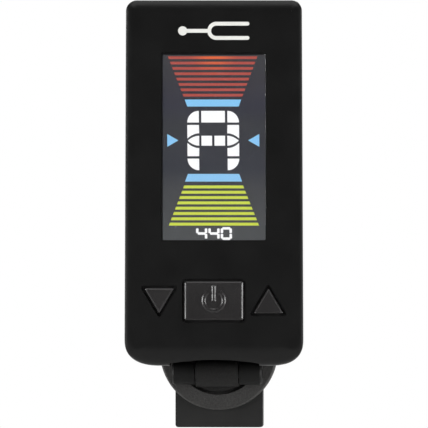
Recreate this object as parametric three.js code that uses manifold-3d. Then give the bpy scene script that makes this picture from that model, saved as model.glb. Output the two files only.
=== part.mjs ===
// A clip-on instrument tuner. A flat upright head carries a screen and three buttons. A tilt hinge joins
// its lower edge to a disc that swivels in a round boss on the front arm of a spring clip.
//
// Millimetres. X is the player's right, Y points back through the clip and Z up. The origin is the middle
// of the front jaw pad's face, which bears on the instrument.

import * as THREE from 'three';
import { mergeVertices } from 'three/addons/utils/BufferGeometryUtils.js';
import Module from 'manifold-3d';

// ---------------------------------------------------------------- driving dimensions

const CLIP = { halfWidth: 6.9, bottom: -4.7, top: 34.5, frontY: -4, innerY: -1.3 };
const JAW_GAP = 2.4;
const PAD = { halfWidth: 5.6, halfHeight: 4, thickness: 2, corner: 0.8 };
const PIVOT = { y: 4.2, z: 19.5, pinRadius: 1, pinHalfLength: 6.7 };
const FRONT_EAR = { inner: 5.3, outer: 6.9, radius: 3 };
const REAR_EAR = { inner: 3.5, outer: 5.1, radius: 2.8 };
const REAR_ARM = { halfWidth: 6.3, thickness: 2.4, throatY: 9.4, throatZ: 10.6, gripY: 13.5 };
const SPRING = { coilRadius: 1.8, wireRadius: 0.45, halfWidth: 2.3, turns: 4, legTopZ: 28, rearLegY: 9.6 };
const RIB = { count: 5, pitch: 2.1, firstBelowTop: 2.4, radius: 0.7, halfLength: 5.2, sides: 10 };

const SWIVEL = { z: 7.3, discRadius: 6.36, frontY: -5.9, hubRadius: 2, hubEndY: -2.5, chamfer: 0.25 };
const BOSS = { radius: 9.25, recessRadius: 6.85, frontY: -6, floorY: -4.4, backY: -3, chamfer: 0.3 };
const WASHER = { radius: 2.6, bore: 1.05, frontY: -2.45, backY: -2.05, seatY: -2.6 };
const SWIVEL_SCREW = { shankRadius: 0.9, headRadius: 1.9, headY: -2, backY: -0.9, tipY: -5 };
const HINGE = { y: -9, z: 3.85, pinRadius: 0.75, pinHalfLength: 6.7 };
const CENTRE_KNUCKLE = { halfWidth: 3.35, radius: 2.1, neckHalf: 1.7 };
const SIDE_KNUCKLE = { inner: 3.5, outer: 7.08, radius: 1.8, chamfer: 0.3 };
const KNUCKLE_WEB = { front: -9.4, bottom: 4.35, top: 7.2 }; // joins each side knuckle to the rear shell

const HEAD = { halfWidth: 14, bottom: 5.1, top: 62.5, frontY: -18.5, backY: -7.5, seamY: -12 };
const WALL = { front: 1.4, back: 1.3, side: 1.7, top: 1.5, bottom: 2.9 };
const SCREEN = { halfWidth: 8.1, bottom: 24.8, top: 54.2, lensThickness: 0.9, lip: 0.65 };
const BUTTON = {
  z: 15.3, proud: 0.2, gap: 0.42, chamfer: 0.2, flange: 0.7, flangeDepth: 0.5, stem: 0.9, travelRoom: 0.45,
};
const POWER_CAP = { halfWidth: 4.6, halfHeight: 3.05, corner: 0.45 };
const ARROW_CAP = { x: 8.6, halfBase: 2.35, height: 3.95, corner: 0.24 };

const BOARD = { frontY: -14.4, backY: -13.4, halfWidth: 12, bottom: 12, top: 56.6 };
const SWITCH = { halfWidth: 1.7, bodyDepth: 1, plungerRadius: 1, plungerDepth: 0.35 };
const CHIP = { halfWidth: 3.5, bottom: 22, top: 29, depth: 1.1 };
const CRYSTAL = { left: 6, right: 9.2, bottom: 20, top: 25, depth: 0.9 };
const CELL = { z: 42, radius: 10, frontY: -12.7, backY: -9.5 };
const COVER = { radius: 11.3, bodyRadius: 10, flangeY: -8.2, backY: -7.5, tabRadius: 11.4 };
const COIN_SLOT = { halfWidth: 7, halfHeight: 0.9, depth: 0.9, corner: 0.6 };
const TAB = { count: 3, first: 90, halfWidth: 2, frontY: -9.4, backY: -8.95, insertTurn: 40 }; // in degrees
const LEDGE = { radius: 10.2, backY: -8.3, notchRadius: 11.6 };
const PIEZO = { z: 20.5, plateRadius: 6, ceramicRadius: 4.3, backY: -8.9, plate: 0.25, ceramic: 0.25 };
const LEAD = { x: 1.4, radius: 0.3, steps: 12, sides: 6, spread: 2.6, drop: 5.5 };
const CASE_SCREW = {
  x: 10.4, zs: [9.6, 59], shankRadius: 0.85, headRadius: 1.5, headHeight: 1.05, tipY: -15, postRadius: 1.8,
  sunk: 0.4,
};

const CLEARANCE = 0.1; // between pieces that are fitted together and stay put
const TOUCH = 0.05; // between a piece and the board or the pad seat that it rests on
const RUNNING_FIT = 0.08; // round a pin or hub that something turns on
const HELD_FIT = 0.03; // round a pin where it is held
const ROUND = 40; // sides of a large round
const SMALL_ROUND = 24; // sides of a pin or a hole
const TINY_ROUND = 12; // sides of a screw

// ---------------------------------------------------------------- solids

const wasm = await Module();
wasm.setup();

// A closed three.js geometry as a solid that can be joined and cut.
function solid(geometry) {
  const bare = new THREE.BufferGeometry();
  const source = geometry.index ? geometry.toNonIndexed() : geometry;
  bare.setAttribute('position', source.getAttribute('position'));
  const merged = mergeVertices(bare, 1e-4);
  const corners = merged.index.array;
  const kept = [];
  for (let i = 0; i < corners.length; i += 3) {
    const [a, b, c] = [corners[i], corners[i + 1], corners[i + 2]];
    if (a !== b && b !== c && c !== a) kept.push(a, b, c);
  }
  const vertProperties = new Float32Array(merged.attributes.position.array);
  const triVerts = new Uint32Array(kept);
  return new wasm.Manifold(new wasm.Mesh({ numProp: 3, vertProperties, triVerts }));
}

// The solid's surface as a three.js geometry.
function surface(body) {
  const mesh = body.getMesh();
  const geometry = new THREE.BufferGeometry();
  geometry.setAttribute('position', new THREE.BufferAttribute(new Float32Array(mesh.vertProperties), 3));
  geometry.setIndex(new THREE.BufferAttribute(new Uint32Array(mesh.triVerts), 1));
  const flat = geometry.toNonIndexed();
  flat.computeVertexNormals();
  return flat;
}

const join = (...bodies) => bodies.reduce((whole, body) => whole.add(body));
const cut = (body, ...tools) => tools.reduce((left, tool) => left.subtract(tool), body);

// A shape drawn in X and Z, as a plate between two Y planes.
function plate(shape, frontY, backY, curveSegments = 6) {
  const geometry = new THREE.ExtrudeGeometry(shape, {
    depth: backY - frontY,
    bevelEnabled: false,
    curveSegments,
  });
  return solid(geometry.rotateX(Math.PI / 2).translate(0, backY, 0));
}

// The same with a chamfer round both ends, inside the outline.
function chamferedPlate(shape, frontY, backY, chamfer, curveSegments) {
  const bevel = { bevelEnabled: true, bevelSegments: 1, bevelThickness: chamfer, bevelSize: chamfer };
  const depth = backY - frontY - 2 * chamfer;
  const options = { ...bevel, bevelOffset: -chamfer, depth, curveSegments };
  const geometry = new THREE.ExtrudeGeometry(shape, options);
  return solid(geometry.rotateX(Math.PI / 2).translate(0, backY - chamfer, 0));
}

// A side profile drawn in Y and Z, as a bar between two X planes.
const PROFILE_TO_SIDE = new THREE.Matrix4().set(0, 0, 1, 0, 1, 0, 0, 0, 0, 1, 0, 0, 0, 0, 0, 1);
function bar(shape, x0, x1, curveSegments = 6) {
  const geometry = new THREE.ExtrudeGeometry(shape, { depth: x1 - x0, bevelEnabled: false, curveSegments });
  return solid(geometry.applyMatrix4(PROFILE_TO_SIDE).translate(x0, 0, 0));
}

function block(x0, x1, y0, y1, z0, z1) {
  const geometry = new THREE.BoxGeometry(x1 - x0, y1 - y0, z1 - z0);
  return solid(geometry.translate((x0 + x1) / 2, (y0 + y1) / 2, (z0 + z1) / 2));
}

// A cylinder along Y, from one Y plane to another.
function rod(radius, y0, y1, x, z, sides = SMALL_ROUND) {
  const geometry = new THREE.CylinderGeometry(radius, radius, y1 - y0, sides);
  return solid(geometry.translate(x, (y0 + y1) / 2, z));
}

// A cylinder along X, from one X plane to another.
function axle(radius, x0, x1, y, z, sides = SMALL_ROUND) {
  const geometry = new THREE.CylinderGeometry(radius, radius, x1 - x0, sides).rotateZ(Math.PI / 2);
  return solid(geometry.translate((x0 + x1) / 2, y, z));
}

// A turned piece about a line along Y. The profile runs from its lowest Y to its highest, as [radius, y].
function turned(profile, x, z, sides = ROUND) {
  const points = profile.map(([radius, y]) => new THREE.Vector2(radius, y));
  return solid(new THREE.LatheGeometry(points, sides).translate(x, 0, z));
}

// ---------------------------------------------------------------- outlines

function polygon(points) {
  return new THREE.Shape(points.map(([u, v]) => new THREE.Vector2(u, v)));
}

function circle(radius, sides, u = 0, v = 0) {
  const angles = Array.from({ length: sides }, (_, i) => (i / sides) * 2 * Math.PI);
  return polygon(angles.map((angle) => [u + radius * Math.cos(angle), v + radius * Math.sin(angle)]));
}

// A box about X = 0 with rounded corners.
function roundedBox(halfWidth, bottom, top, radius) {
  const [side, low, high] = [halfWidth - radius, bottom + radius, top - radius];
  const shape = new THREE.Shape();
  shape.absarc(side, low, radius, -Math.PI / 2, 0, false);
  shape.absarc(side, high, radius, 0, Math.PI / 2, false);
  shape.absarc(-side, high, radius, Math.PI / 2, Math.PI, false);
  shape.absarc(-side, low, radius, Math.PI, 1.5 * Math.PI, false);
  shape.closePath();
  return shape;
}

// The head's front outline: round corners above, and below wide corners that sweep round to the hinge. Each
// sweep is a superellipse, which is fuller than an ellipse of the same size.
const HEAD_CORNER = { top: 1.7, bottomWidth: 5.8, bottomHeight: 4.3, power: 2.6, steps: 12 };
function headOutline() {
  const { top, bottomWidth, bottomHeight, power, steps } = HEAD_CORNER;
  const half = HEAD.halfWidth;
  const sweep = Array.from({ length: steps + 1 }, (_, i) => {
    const angle = (i / steps) * (Math.PI / 2);
    const across = bottomWidth * Math.sin(angle) ** (2 / power);
    const down = bottomHeight * Math.max(0, Math.cos(angle)) ** (2 / power);
    return new THREE.Vector2(half - bottomWidth + across, HEAD.bottom + bottomHeight - down);
  });
  const shape = new THREE.Shape(sweep);
  shape.absarc(half - top, HEAD.top - top, top, 0, Math.PI / 2, false);
  shape.absarc(top - half, HEAD.top - top, top, Math.PI / 2, Math.PI, false);
  for (const point of sweep.reverse()) shape.lineTo(-point.x, point.y);
  shape.closePath();
  return shape;
}

// The head's side profile in Y and Z: the front rolls off a little at the top and more at the bottom.
const ROLL = { topY: 0.9, topZ: 2, bottomY: 2, bottomZ: 3.4, back: 1 };
function headProfile() {
  const { frontY, backY, bottom, top } = HEAD;
  const shape = new THREE.Shape();
  shape.absarc(backY - ROLL.back, bottom + ROLL.back, ROLL.back, -Math.PI / 2, 0, false);
  shape.absarc(backY - ROLL.back, top - ROLL.back, ROLL.back, 0, Math.PI / 2, false);
  const crown = [frontY + ROLL.topY, top - ROLL.topZ, ROLL.topY, ROLL.topZ];
  shape.absellipse(...crown, Math.PI / 2, Math.PI, false);
  const chin = [frontY + ROLL.bottomY, bottom + ROLL.bottomZ, ROLL.bottomY, ROLL.bottomZ];
  shape.absellipse(...chin, Math.PI, 1.5 * Math.PI, false);
  return shape;
}

// The head seen from above, in X and Y: rounded front edges, and sides that draw in towards the back.
const DRAFT = { widestY: -18, backHalfWidth: 13.2, frontRadiusX: 0.5, backRadius: 0.8 };
function headPlan() {
  const { frontY, backY, halfWidth } = HEAD;
  const { widestY, backHalfWidth, frontRadiusX, backRadius } = DRAFT;
  const shape = new THREE.Shape();
  const depth = widestY - frontY;
  shape.absellipse(frontRadiusX - halfWidth, widestY, frontRadiusX, depth, Math.PI, 1.5 * Math.PI, false);
  shape.absellipse(halfWidth - frontRadiusX, widestY, frontRadiusX, depth, -Math.PI / 2, 0, false);
  shape.absarc(backHalfWidth - backRadius, backY - backRadius, backRadius, 0, Math.PI / 2, false);
  shape.absarc(backRadius - backHalfWidth, backY - backRadius, backRadius, Math.PI / 2, Math.PI, false);
  return shape;
}

// A button cap's outline, grown outwards by an offset.
function powerOutline(offset) {
  const { halfWidth, halfHeight, corner } = POWER_CAP;
  const reach = halfHeight + offset;
  return roundedBox(halfWidth + offset, BUTTON.z - reach, BUTTON.z + reach, corner + offset);
}

// A triangle that points up (direction 1) or down (direction -1), with its sides moved out by an offset. Its
// corners are arcs about the corners of a smaller triangle, and a wider triangle has rounder ones.
function arrowOutline(x, direction, offset) {
  const { halfBase, height, corner } = ARROW_CAP;
  const lean = Math.atan2(halfBase, height);
  const r = corner + offset / 2;
  const moved = offset - r;
  const base = BUTTON.z - direction * (height / 2 + moved);
  const tip = BUTTON.z + direction * (height / 2 + moved / Math.sin(lean));
  const reach = Math.abs(tip - base) * Math.tan(lean);
  const shape = new THREE.Shape();
  if (direction > 0) {
    shape.absarc(x + reach, base, r, -Math.PI / 2, lean, false);
    shape.absarc(x, tip, r, lean, Math.PI - lean, false);
    shape.absarc(x - reach, base, r, Math.PI - lean, 1.5 * Math.PI, false);
  } else {
    shape.absarc(x - reach, base, r, Math.PI / 2, Math.PI + lean, false);
    shape.absarc(x, tip, r, Math.PI + lean, 2 * Math.PI - lean, false);
    shape.absarc(x + reach, base, r, -lean, Math.PI / 2, false);
  }
  shape.closePath();
  return shape;
}

// The three buttons, left to right, each with its outline grown by an offset.
const BUTTONS = [
  { name: 'down', x: -ARROW_CAP.x, outline: (offset) => arrowOutline(-ARROW_CAP.x, -1, offset) },
  { name: 'power', x: 0, outline: powerOutline },
  { name: 'up', x: ARROW_CAP.x, outline: (offset) => arrowOutline(ARROW_CAP.x, 1, offset) },
];

// ---------------------------------------------------------------- materials and assembly

const tuner = new THREE.Group();

const finish = (color, roughness, metalness) => () =>
  new THREE.MeshStandardMaterial({ color, roughness, metalness });
const satinBlack = finish(0x161617, 0.42, 0);
const grainedBlack = finish(0x3a3938, 0.75, 0);
const smoothBlack = finish(0x222222, 0.5, 0);
const softRubber = finish(0x1b1b1b, 0.9, 0);
const darkGlass = finish(0x35373a, 0.12, 0);
const clearPlastic = finish(0xe8ecef, 0.2, 0);
const whitePlastic = finish(0xe4e4e0, 0.5, 0);
const boardGreen = finish(0x1f5a38, 0.5, 0);
const chipBlack = finish(0x1a1a1c, 0.55, 0);
const steel = finish(0xa9abae, 0.3, 1);
const darkSteel = finish(0x4a4b4e, 0.4, 1);
const brass = finish(0xc2a15a, 0.35, 1);
const redInsulation = finish(0xa32620, 0.5, 0);
const blackInsulation = finish(0x1c1c1c, 0.5, 0);

function piece(name, body, material) {
  const mesh = new THREE.Mesh(surface(body), material());
  mesh.name = name;
  tuner.add(mesh);
}

// ---------------------------------------------------------------- clip

const PAD_SEAT = PAD.thickness + CLIP.innerY; // how far a pad sits in its arm
const rearInnerY = JAW_GAP - CLIP.innerY;

// A rubber pad with rounded corners between two Y planes.
function pad(frontY, backY, grown = 0) {
  const reach = PAD.halfHeight + grown;
  return plate(roundedBox(PAD.halfWidth + grown, -reach, reach, PAD.corner + grown), frontY, backY, 4);
}

// Two ears, one each side, that reach from an arm's inner face to the pivot.
function ears({ inner, outer, radius }, armY, boreRadius) {
  const { y, z } = PIVOT;
  const facing = armY < y ? 1 : -1;
  const lug = new THREE.Shape();
  lug.moveTo(armY, z - facing * radius);
  lug.lineTo(y, z - facing * radius);
  lug.absarc(y, z, radius, (-facing * Math.PI) / 2, (facing * Math.PI) / 2 + (1 - facing) * Math.PI, false);
  lug.lineTo(armY, z + facing * radius);
  lug.closePath();
  lug.holes.push(circle(boreRadius, SMALL_ROUND, y, z));
  return join(bar(lug, -outer, -inner), bar(lug, inner, outer));
}

function clipFrontArm() {
  const { halfWidth, bottom, top, frontY, innerY } = CLIP;
  const footCorner = 0.45;
  const gripCorner = 2;
  const outline = new THREE.Shape();
  outline.absarc(halfWidth - footCorner, bottom + footCorner, footCorner, -Math.PI / 2, 0, false);
  outline.absarc(halfWidth - gripCorner, top - gripCorner, gripCorner, 0, Math.PI / 2, false);
  outline.absarc(gripCorner - halfWidth, top - gripCorner, gripCorner, Math.PI / 2, Math.PI, false);
  outline.absarc(footCorner - halfWidth, bottom + footCorner, footCorner, Math.PI, 1.5 * Math.PI, false);

  const boss = turned(
    [[0, BOSS.frontY], [BOSS.radius - BOSS.chamfer, BOSS.frontY], [BOSS.radius, BOSS.frontY + BOSS.chamfer],
      [BOSS.radius, BOSS.backY - BOSS.chamfer], [BOSS.radius - BOSS.chamfer, BOSS.backY], [0, BOSS.backY]],
    0, SWIVEL.z);
  const recess = rod(BOSS.recessRadius, BOSS.frontY - 1, BOSS.floorY, 0, SWIVEL.z, ROUND);
  const hubHole = rod(SWIVEL.hubRadius + RUNNING_FIT, BOSS.frontY, innerY, 0, SWIVEL.z, SMALL_ROUND);
  const washerSeat = rod(WASHER.radius + 0.3, WASHER.seatY, innerY + 1, 0, SWIVEL.z, SMALL_ROUND);
  const padSeat = pad(innerY - PAD_SEAT - TOUCH, innerY + 1, CLEARANCE);

  const body = join(
    plate(outline, frontY, innerY, 4),
    boss,
    ears(FRONT_EAR, innerY - 1, PIVOT.pinRadius + HELD_FIT),
    ...gripRibs(frontY, 0),
  );
  return cut(body, recess, hubHole, washerSeat, padSeat);
}

// Finger ribs across an arm's outer face, near the end that is squeezed. The face leans back by the slope.
function gripRibs(faceY, slope) {
  const depthInside = 0.25 * RIB.radius * Math.sign(faceY);
  return Array.from({ length: RIB.count }, (_, i) => {
    const drop = RIB.firstBelowTop + i * RIB.pitch;
    return axle(RIB.radius, -RIB.halfLength, RIB.halfLength, faceY - slope * drop - depthInside,
      CLIP.top - drop, RIB.sides);
  });
}

const GRIP_RISE = 3; // how far above the pivot the rear grip starts to lean back
const PAD_MARGIN = 0.6; // straight stretch of the rear arm above its pad

// The rear arm's middle line: flat behind the pad, out round the throat, past the pivot to the grip.
function rearArmLine() {
  const padY = rearInnerY + REAR_ARM.thickness / 2;
  const { throatY, throatZ, gripY } = REAR_ARM;
  const line = new THREE.CurvePath();
  const at = (y, z) => new THREE.Vector2(y, z);
  const padTop = at(padY, PAD.halfHeight + PAD_MARGIN);
  const throat = at(throatY, throatZ);
  const bend = (padTop.y + throat.y) / 2;
  const hip = at(throatY, PIVOT.z - 1);
  line.add(new THREE.LineCurve(at(padY, CLIP.bottom), padTop));
  line.add(new THREE.CubicBezierCurve(padTop, at(padY, bend), at(throatY, bend), throat));
  line.add(new THREE.LineCurve(throat, hip));
  line.add(new THREE.QuadraticBezierCurve(hip, at(throatY, PIVOT.z + GRIP_RISE), at(gripY, CLIP.top)));
  return line;
}

// The line's points with their normals, one step in every curve segment.
function rearArmOutline() {
  const half = REAR_ARM.thickness / 2;
  const stations = [];
  for (const curve of rearArmLine().curves) {
    const steps = curve.isLineCurve ? 1 : 8;
    for (let i = stations.length ? 1 : 0; i <= steps; i++) {
      const along = curve.getTangent(i / steps);
      stations.push({ point: curve.getPoint(i / steps), along });
    }
  }
  const offset = (side) => ({ point, along }) =>
    new THREE.Vector2(point.x + side * half * along.y, point.y - side * half * along.x);
  return new THREE.Shape([...stations.map(offset(1)), ...stations.map(offset(-1)).reverse()]);
}

function clipRearArm() {
  const { halfWidth, thickness, throatY, gripY } = REAR_ARM;
  const arm = bar(rearArmOutline(), -halfWidth, halfWidth);
  const outerY = gripY + thickness / 2;
  const gripSlope = (gripY - throatY) / (CLIP.top - PIVOT.z - GRIP_RISE);
  const padSeat = pad(rearInnerY - 1, rearInnerY + PAD_SEAT + TOUCH, CLEARANCE);
  const lugs = ears(REAR_EAR, throatY, PIVOT.pinRadius + RUNNING_FIT);
  return cut(join(arm, lugs, ...gripRibs(outerY, gripSlope)), padSeat);
}

// The spring's wire: down one leg, round the pin, and up the other leg.
class SpringWire extends THREE.Curve {
  constructor() {
    super();
    const { coilRadius, halfWidth, turns, legTopZ, wireRadius, rearLegY } = SPRING;
    const legGap = wireRadius + CLEARANCE;
    const legHeight = legTopZ - PIVOT.z;
    const frontLeg = new THREE.Vector2(CLIP.innerY + legGap - PIVOT.y, legHeight);
    const rearLeg = new THREE.Vector2(rearLegY - PIVOT.y, legHeight);
    const tangentAngle = (leg) => Math.acos(coilRadius / leg.length());
    this.start = frontLeg.angle() + tangentAngle(frontLeg);
    this.sweep = rearLeg.angle() - tangentAngle(rearLeg) + (turns + 1) * 2 * Math.PI - this.start;
    this.legs = [frontLeg, rearLeg];
    const legLength = (leg) => Math.sqrt(leg.lengthSq() - coilRadius ** 2);
    this.lengths = [legLength(frontLeg), coilRadius * this.sweep, legLength(rearLeg)];
    this.radius = coilRadius;
    this.halfWidth = halfWidth;
  }

  onCoil(turn) {
    const angle = this.start + turn * this.sweep;
    return new THREE.Vector2(this.radius * Math.cos(angle), this.radius * Math.sin(angle));
  }

  getPoint(t, target = new THREE.Vector3()) {
    const [first, coil, last] = this.lengths;
    const s = t * (first + coil + last);
    const turn = THREE.MathUtils.clamp((s - first) / coil, 0, 1);
    const x = THREE.MathUtils.lerp(-this.halfWidth, this.halfWidth, turn);
    const flat = this.onCoil(turn);
    if (s < first) flat.lerp(this.legs[0], 1 - s / first);
    if (s > first + coil) flat.lerp(this.legs[1], (s - first - coil) / last);
    return target.set(x, PIVOT.y + flat.x, PIVOT.z + flat.y);
  }
}

function torsionSpring() {
  const options = { steps: 84, extrudePath: new SpringWire(), bevelEnabled: false };
  return solid(new THREE.ExtrudeGeometry(circle(SPRING.wireRadius, 8), options));
}

// ---------------------------------------------------------------- swivel

// The knuckle's arm stands on the lower half of the disc's face and reaches forward to the hinge pin.
function swivelDisc() {
  const { z, discRadius, frontY, hubRadius, hubEndY, chamfer } = SWIVEL;
  const backY = BOSS.floorY - CLEARANCE;
  const disc = turned(
    [[0, frontY], [discRadius - chamfer, frontY], [discRadius, frontY + chamfer], [discRadius, backY],
      [hubRadius, backY], [hubRadius, hubEndY], [0, hubEndY]],
    0, z);
  const { halfWidth, radius, neckHalf } = CENTRE_KNUCKLE;
  const knuckle = axle(radius, -halfWidth, halfWidth, HINGE.y, HINGE.z);
  const neck = block(-halfWidth, halfWidth, HINGE.y, frontY + 0.5, HINGE.z - neckHalf, HINGE.z + neckHalf);
  const pinBore = axle(HINGE.pinRadius + HELD_FIT, -halfWidth - 1, halfWidth + 1, HINGE.y, HINGE.z);
  const screwBore = rod(SWIVEL_SCREW.shankRadius + CLEARANCE, SWIVEL_SCREW.tipY - 0.2, 0, 0, z, TINY_ROUND);
  return cut(join(disc, knuckle, neck), pinBore, screwBore);
}

// A pan-head screw along Y with a cross recess in its head. The head is at the higher Y.
function screw({ shankRadius, headRadius, headY, backY, tipY }, x, z) {
  const point = { radius: shankRadius * 0.6, length: 0.5 };
  const dome = { radius: headRadius * 0.7, height: 0.35 };
  const body = turned(
    [[0, tipY], [point.radius, tipY], [shankRadius, tipY + point.length], [shankRadius, headY],
      [headRadius, headY], [headRadius, backY - dome.height], [dome.radius, backY], [0, backY]],
    x, z, TINY_ROUND);
  const [reach, slot, depth] = [headRadius * 0.6, headRadius * 0.14, 0.6];
  return cut(
    body,
    block(x - reach, x + reach, backY - depth, backY + 1, z - slot, z + slot),
    block(x - slot, x + slot, backY - depth, backY + 1, z - reach, z + reach),
  );
}

function swivelWasher() {
  const { radius, bore, frontY, backY } = WASHER;
  const disc = rod(radius, frontY, backY, 0, SWIVEL.z, SMALL_ROUND);
  return cut(disc, rod(bore, frontY - 1, backY + 1, 0, SWIVEL.z, TINY_ROUND));
}

// ---------------------------------------------------------------- head

const PLENTY = 40; // longer than any cut in the head needs to be

// The head's outer form is where its front outline, side profile and plan all hold.
function headForm() {
  const { frontY, backY, bottom, top, halfWidth } = HEAD;
  const options = { depth: top - bottom + 2, bevelEnabled: false, curveSegments: 4 };
  const plan = new THREE.ExtrudeGeometry(headPlan(), options);
  return plate(headOutline(), frontY, backY, 6)
    .intersect(bar(headProfile(), -halfWidth - 1, halfWidth + 1, 5))
    .intersect(solid(plan.translate(0, 0, bottom - 1)));
}

// The hollow inside the head, between two Y planes.
function headHollow(frontY, backY) {
  const halfWidth = HEAD.halfWidth - WALL.side;
  return plate(roundedBox(halfWidth, HEAD.bottom + WALL.bottom, HEAD.top - WALL.top, 1.2), frontY, backY, 3);
}

// The notch across the head's lower edge that the hinge barrel turns in, with a slightly arched roof.
const NOTCH = { halfWidth: 7.4, shoulder: 5.6, crown: 6.2 };
function hingeNotch() {
  const { halfWidth, shoulder, crown } = NOTCH;
  const below = HEAD.bottom - 2;
  const shape = new THREE.Shape();
  shape.moveTo(-halfWidth, below);
  shape.lineTo(halfWidth, below);
  shape.lineTo(halfWidth, shoulder);
  shape.quadraticCurveTo(0, 2 * crown - shoulder, -halfWidth, shoulder);
  shape.closePath();
  return plate(shape, HEAD.frontY - 1, HEAD.backY + 1, 10);
}

const screwPlaces = CASE_SCREW.zs.flatMap((z) => [-CASE_SCREW.x, CASE_SCREW.x].map((x) => ({ x, z })));
const innerFrontY = HEAD.frontY + WALL.front;
const innerBackY = HEAD.backY - WALL.back;
const screenZ = (SCREEN.bottom + SCREEN.top) / 2;
const rearSeamY = HEAD.seamY + CLEARANCE;

function frontShell() {
  const { halfWidth, bottom, top, lensThickness, lip } = SCREEN;
  const lensSeat = roundedBox(halfWidth + CLEARANCE, bottom - CLEARANCE, top + CLEARANCE, 0.3);
  const window = roundedBox(halfWidth - lip, bottom + lip, top - lip, 0.3);
  const posts = screwPlaces.map(({ x, z }) =>
    rod(CASE_SCREW.postRadius, innerFrontY - 0.5, HEAD.seamY, x, z, TINY_ROUND));
  const pilots = screwPlaces.map(({ x, z }) =>
    rod(CASE_SCREW.shankRadius + 0.08, innerFrontY + 0.6, HEAD.seamY + 1, x, z, TINY_ROUND));
  const openings = BUTTONS.map(({ outline }) =>
    plate(outline(BUTTON.gap), HEAD.frontY - 1, innerFrontY + 1, 4));
  const casing = cut(
    headForm(),
    block(-PLENTY, PLENTY, HEAD.seamY, PLENTY, -PLENTY, 2 * PLENTY),
    headHollow(innerFrontY, HEAD.seamY + 1),
    plate(lensSeat, HEAD.frontY - 1, HEAD.frontY + lensThickness + CLEARANCE, 3),
    plate(window, HEAD.frontY, innerFrontY + 1, 3),
    hingeNotch(),
    ...openings,
  );
  return cut(join(casing, ...posts), ...pilots);
}

// A hinge knuckle on one side, chamfered at its outer end, with the web that holds it to the shell.
function sideKnuckle(side) {
  const { inner, outer, radius, chamfer } = SIDE_KNUCKLE;
  const wall = [[radius, inner], [radius, outer - chamfer], [radius - chamfer, outer]];
  const points = [[0, inner], ...wall, [0, outer]].map(([r, x]) => new THREE.Vector2(r, x));
  const barrel = new THREE.LatheGeometry(points, SMALL_ROUND).rotateZ((-side * Math.PI) / 2);
  const [x0, x1] = side < 0 ? [chamfer - outer, -inner] : [inner, outer - chamfer];
  const web = block(x0, x1, KNUCKLE_WEB.front, HEAD.backY - 0.1, KNUCKLE_WEB.bottom, KNUCKLE_WEB.top);
  return join(solid(barrel.translate(0, HINGE.y, HINGE.z)), web);
}

// A radial block about the cell's line, from its middle out to a radius.
function spoke(angle, radius, halfWidth, frontY, backY) {
  const geometry = new THREE.BoxGeometry(radius, backY - frontY, 2 * halfWidth).translate(radius / 2, 0, 0);
  geometry.rotateY((-angle * Math.PI) / 180).translate(0, (frontY + backY) / 2, CELL.z);
  return solid(geometry).intersect(rod(radius, frontY - 1, backY + 1, 0, CELL.z, ROUND));
}

// The battery cover's tabs when it is locked, in degrees from +X.
const tabAngles = Array.from({ length: TAB.count }, (_, i) => TAB.first + (i * 360) / TAB.count);

function rearShell() {
  const { headRadius, headHeight, postRadius, shankRadius, sunk } = CASE_SCREW;
  const headSeat = sunk + headHeight + TOUCH;
  const bosses = screwPlaces.map(({ x, z }) =>
    rod(postRadius, rearSeamY, innerBackY + 0.5, x, z, TINY_ROUND));
  const holes = screwPlaces.flatMap(({ x, z }) => [
    rod(shankRadius + CLEARANCE, rearSeamY - 1, HEAD.backY, x, z, TINY_ROUND),
    rod(headRadius + CLEARANCE, HEAD.backY - headSeat, HEAD.backY + 1, x, z, TINY_ROUND),
  ]);
  const entries = tabAngles.map((angle) =>
    spoke(angle - TAB.insertTurn, LEDGE.notchRadius, TAB.halfWidth + 0.3, innerBackY - 1, LEDGE.backY));
  const casing = cut(
    headForm(),
    block(-PLENTY, PLENTY, -PLENTY, rearSeamY, -PLENTY, 2 * PLENTY),
    headHollow(rearSeamY - 1, innerBackY),
    rod(COVER.radius + 0.15, LEDGE.backY, HEAD.backY + 1, 0, CELL.z, ROUND),
    rod(LEDGE.radius, innerBackY - 1, HEAD.backY + 1, 0, CELL.z, ROUND),
    hingeNotch(),
    ...entries,
  );
  const pinReach = SIDE_KNUCKLE.outer + 1;
  const pinBore = axle(HINGE.pinRadius + RUNNING_FIT, -pinReach, pinReach, HINGE.y, HINGE.z);
  return cut(join(casing, sideKnuckle(-1), sideKnuckle(1), ...bosses), ...holes, pinBore);
}

function displayWindow() {
  const { halfWidth, bottom, top, lensThickness } = SCREEN;
  return plate(roundedBox(halfWidth, bottom, top, 0.2), HEAD.frontY, HEAD.frontY + lensThickness, 3);
}

// ---------------------------------------------------------------- display and board

const LCD = { halfWidth: 8.8, bottom: 22.7, top: 55.3, frontY: -17, backY: -15.9 };
const GUIDE = { halfWidth: 8.7, bottom: 25.6, top: 53.6, frontY: -15.8, backY: -14.6 };
const FRAME_WALL = 1.2;
const STRIP = { halfWidth: 7.6, bottom: 22.9, top: 24.7 };
const LED = { halfWidth: 1.6, bottom: 53.8, top: 54.9, frontY: -15.6 };

function displayFrame() {
  const gap = CLEARANCE;
  const outer = roundedBox(LCD.halfWidth + gap + FRAME_WALL, LCD.bottom - gap - FRAME_WALL,
    LCD.top + gap + FRAME_WALL, 0.8);
  const inner = roundedBox(LCD.halfWidth + gap, LCD.bottom - gap, LCD.top + gap, 0.3);
  outer.holes.push(inner);
  return plate(outer, LCD.frontY, BOARD.frontY - gap, 3);
}

const boardRear = BOARD.backY + TOUCH; // where the parts on the board's back start

// A plain slab about X = 0 between two Y planes.
function slab({ halfWidth, bottom, top }, frontY, backY) {
  return block(-halfWidth, halfWidth, frontY, backY, bottom, top);
}

function circuitBoard() {
  const { halfWidth, bottom, top, frontY, backY } = BOARD;
  return plate(roundedBox(halfWidth, bottom, top, 1), frontY, backY, 3);
}

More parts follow.
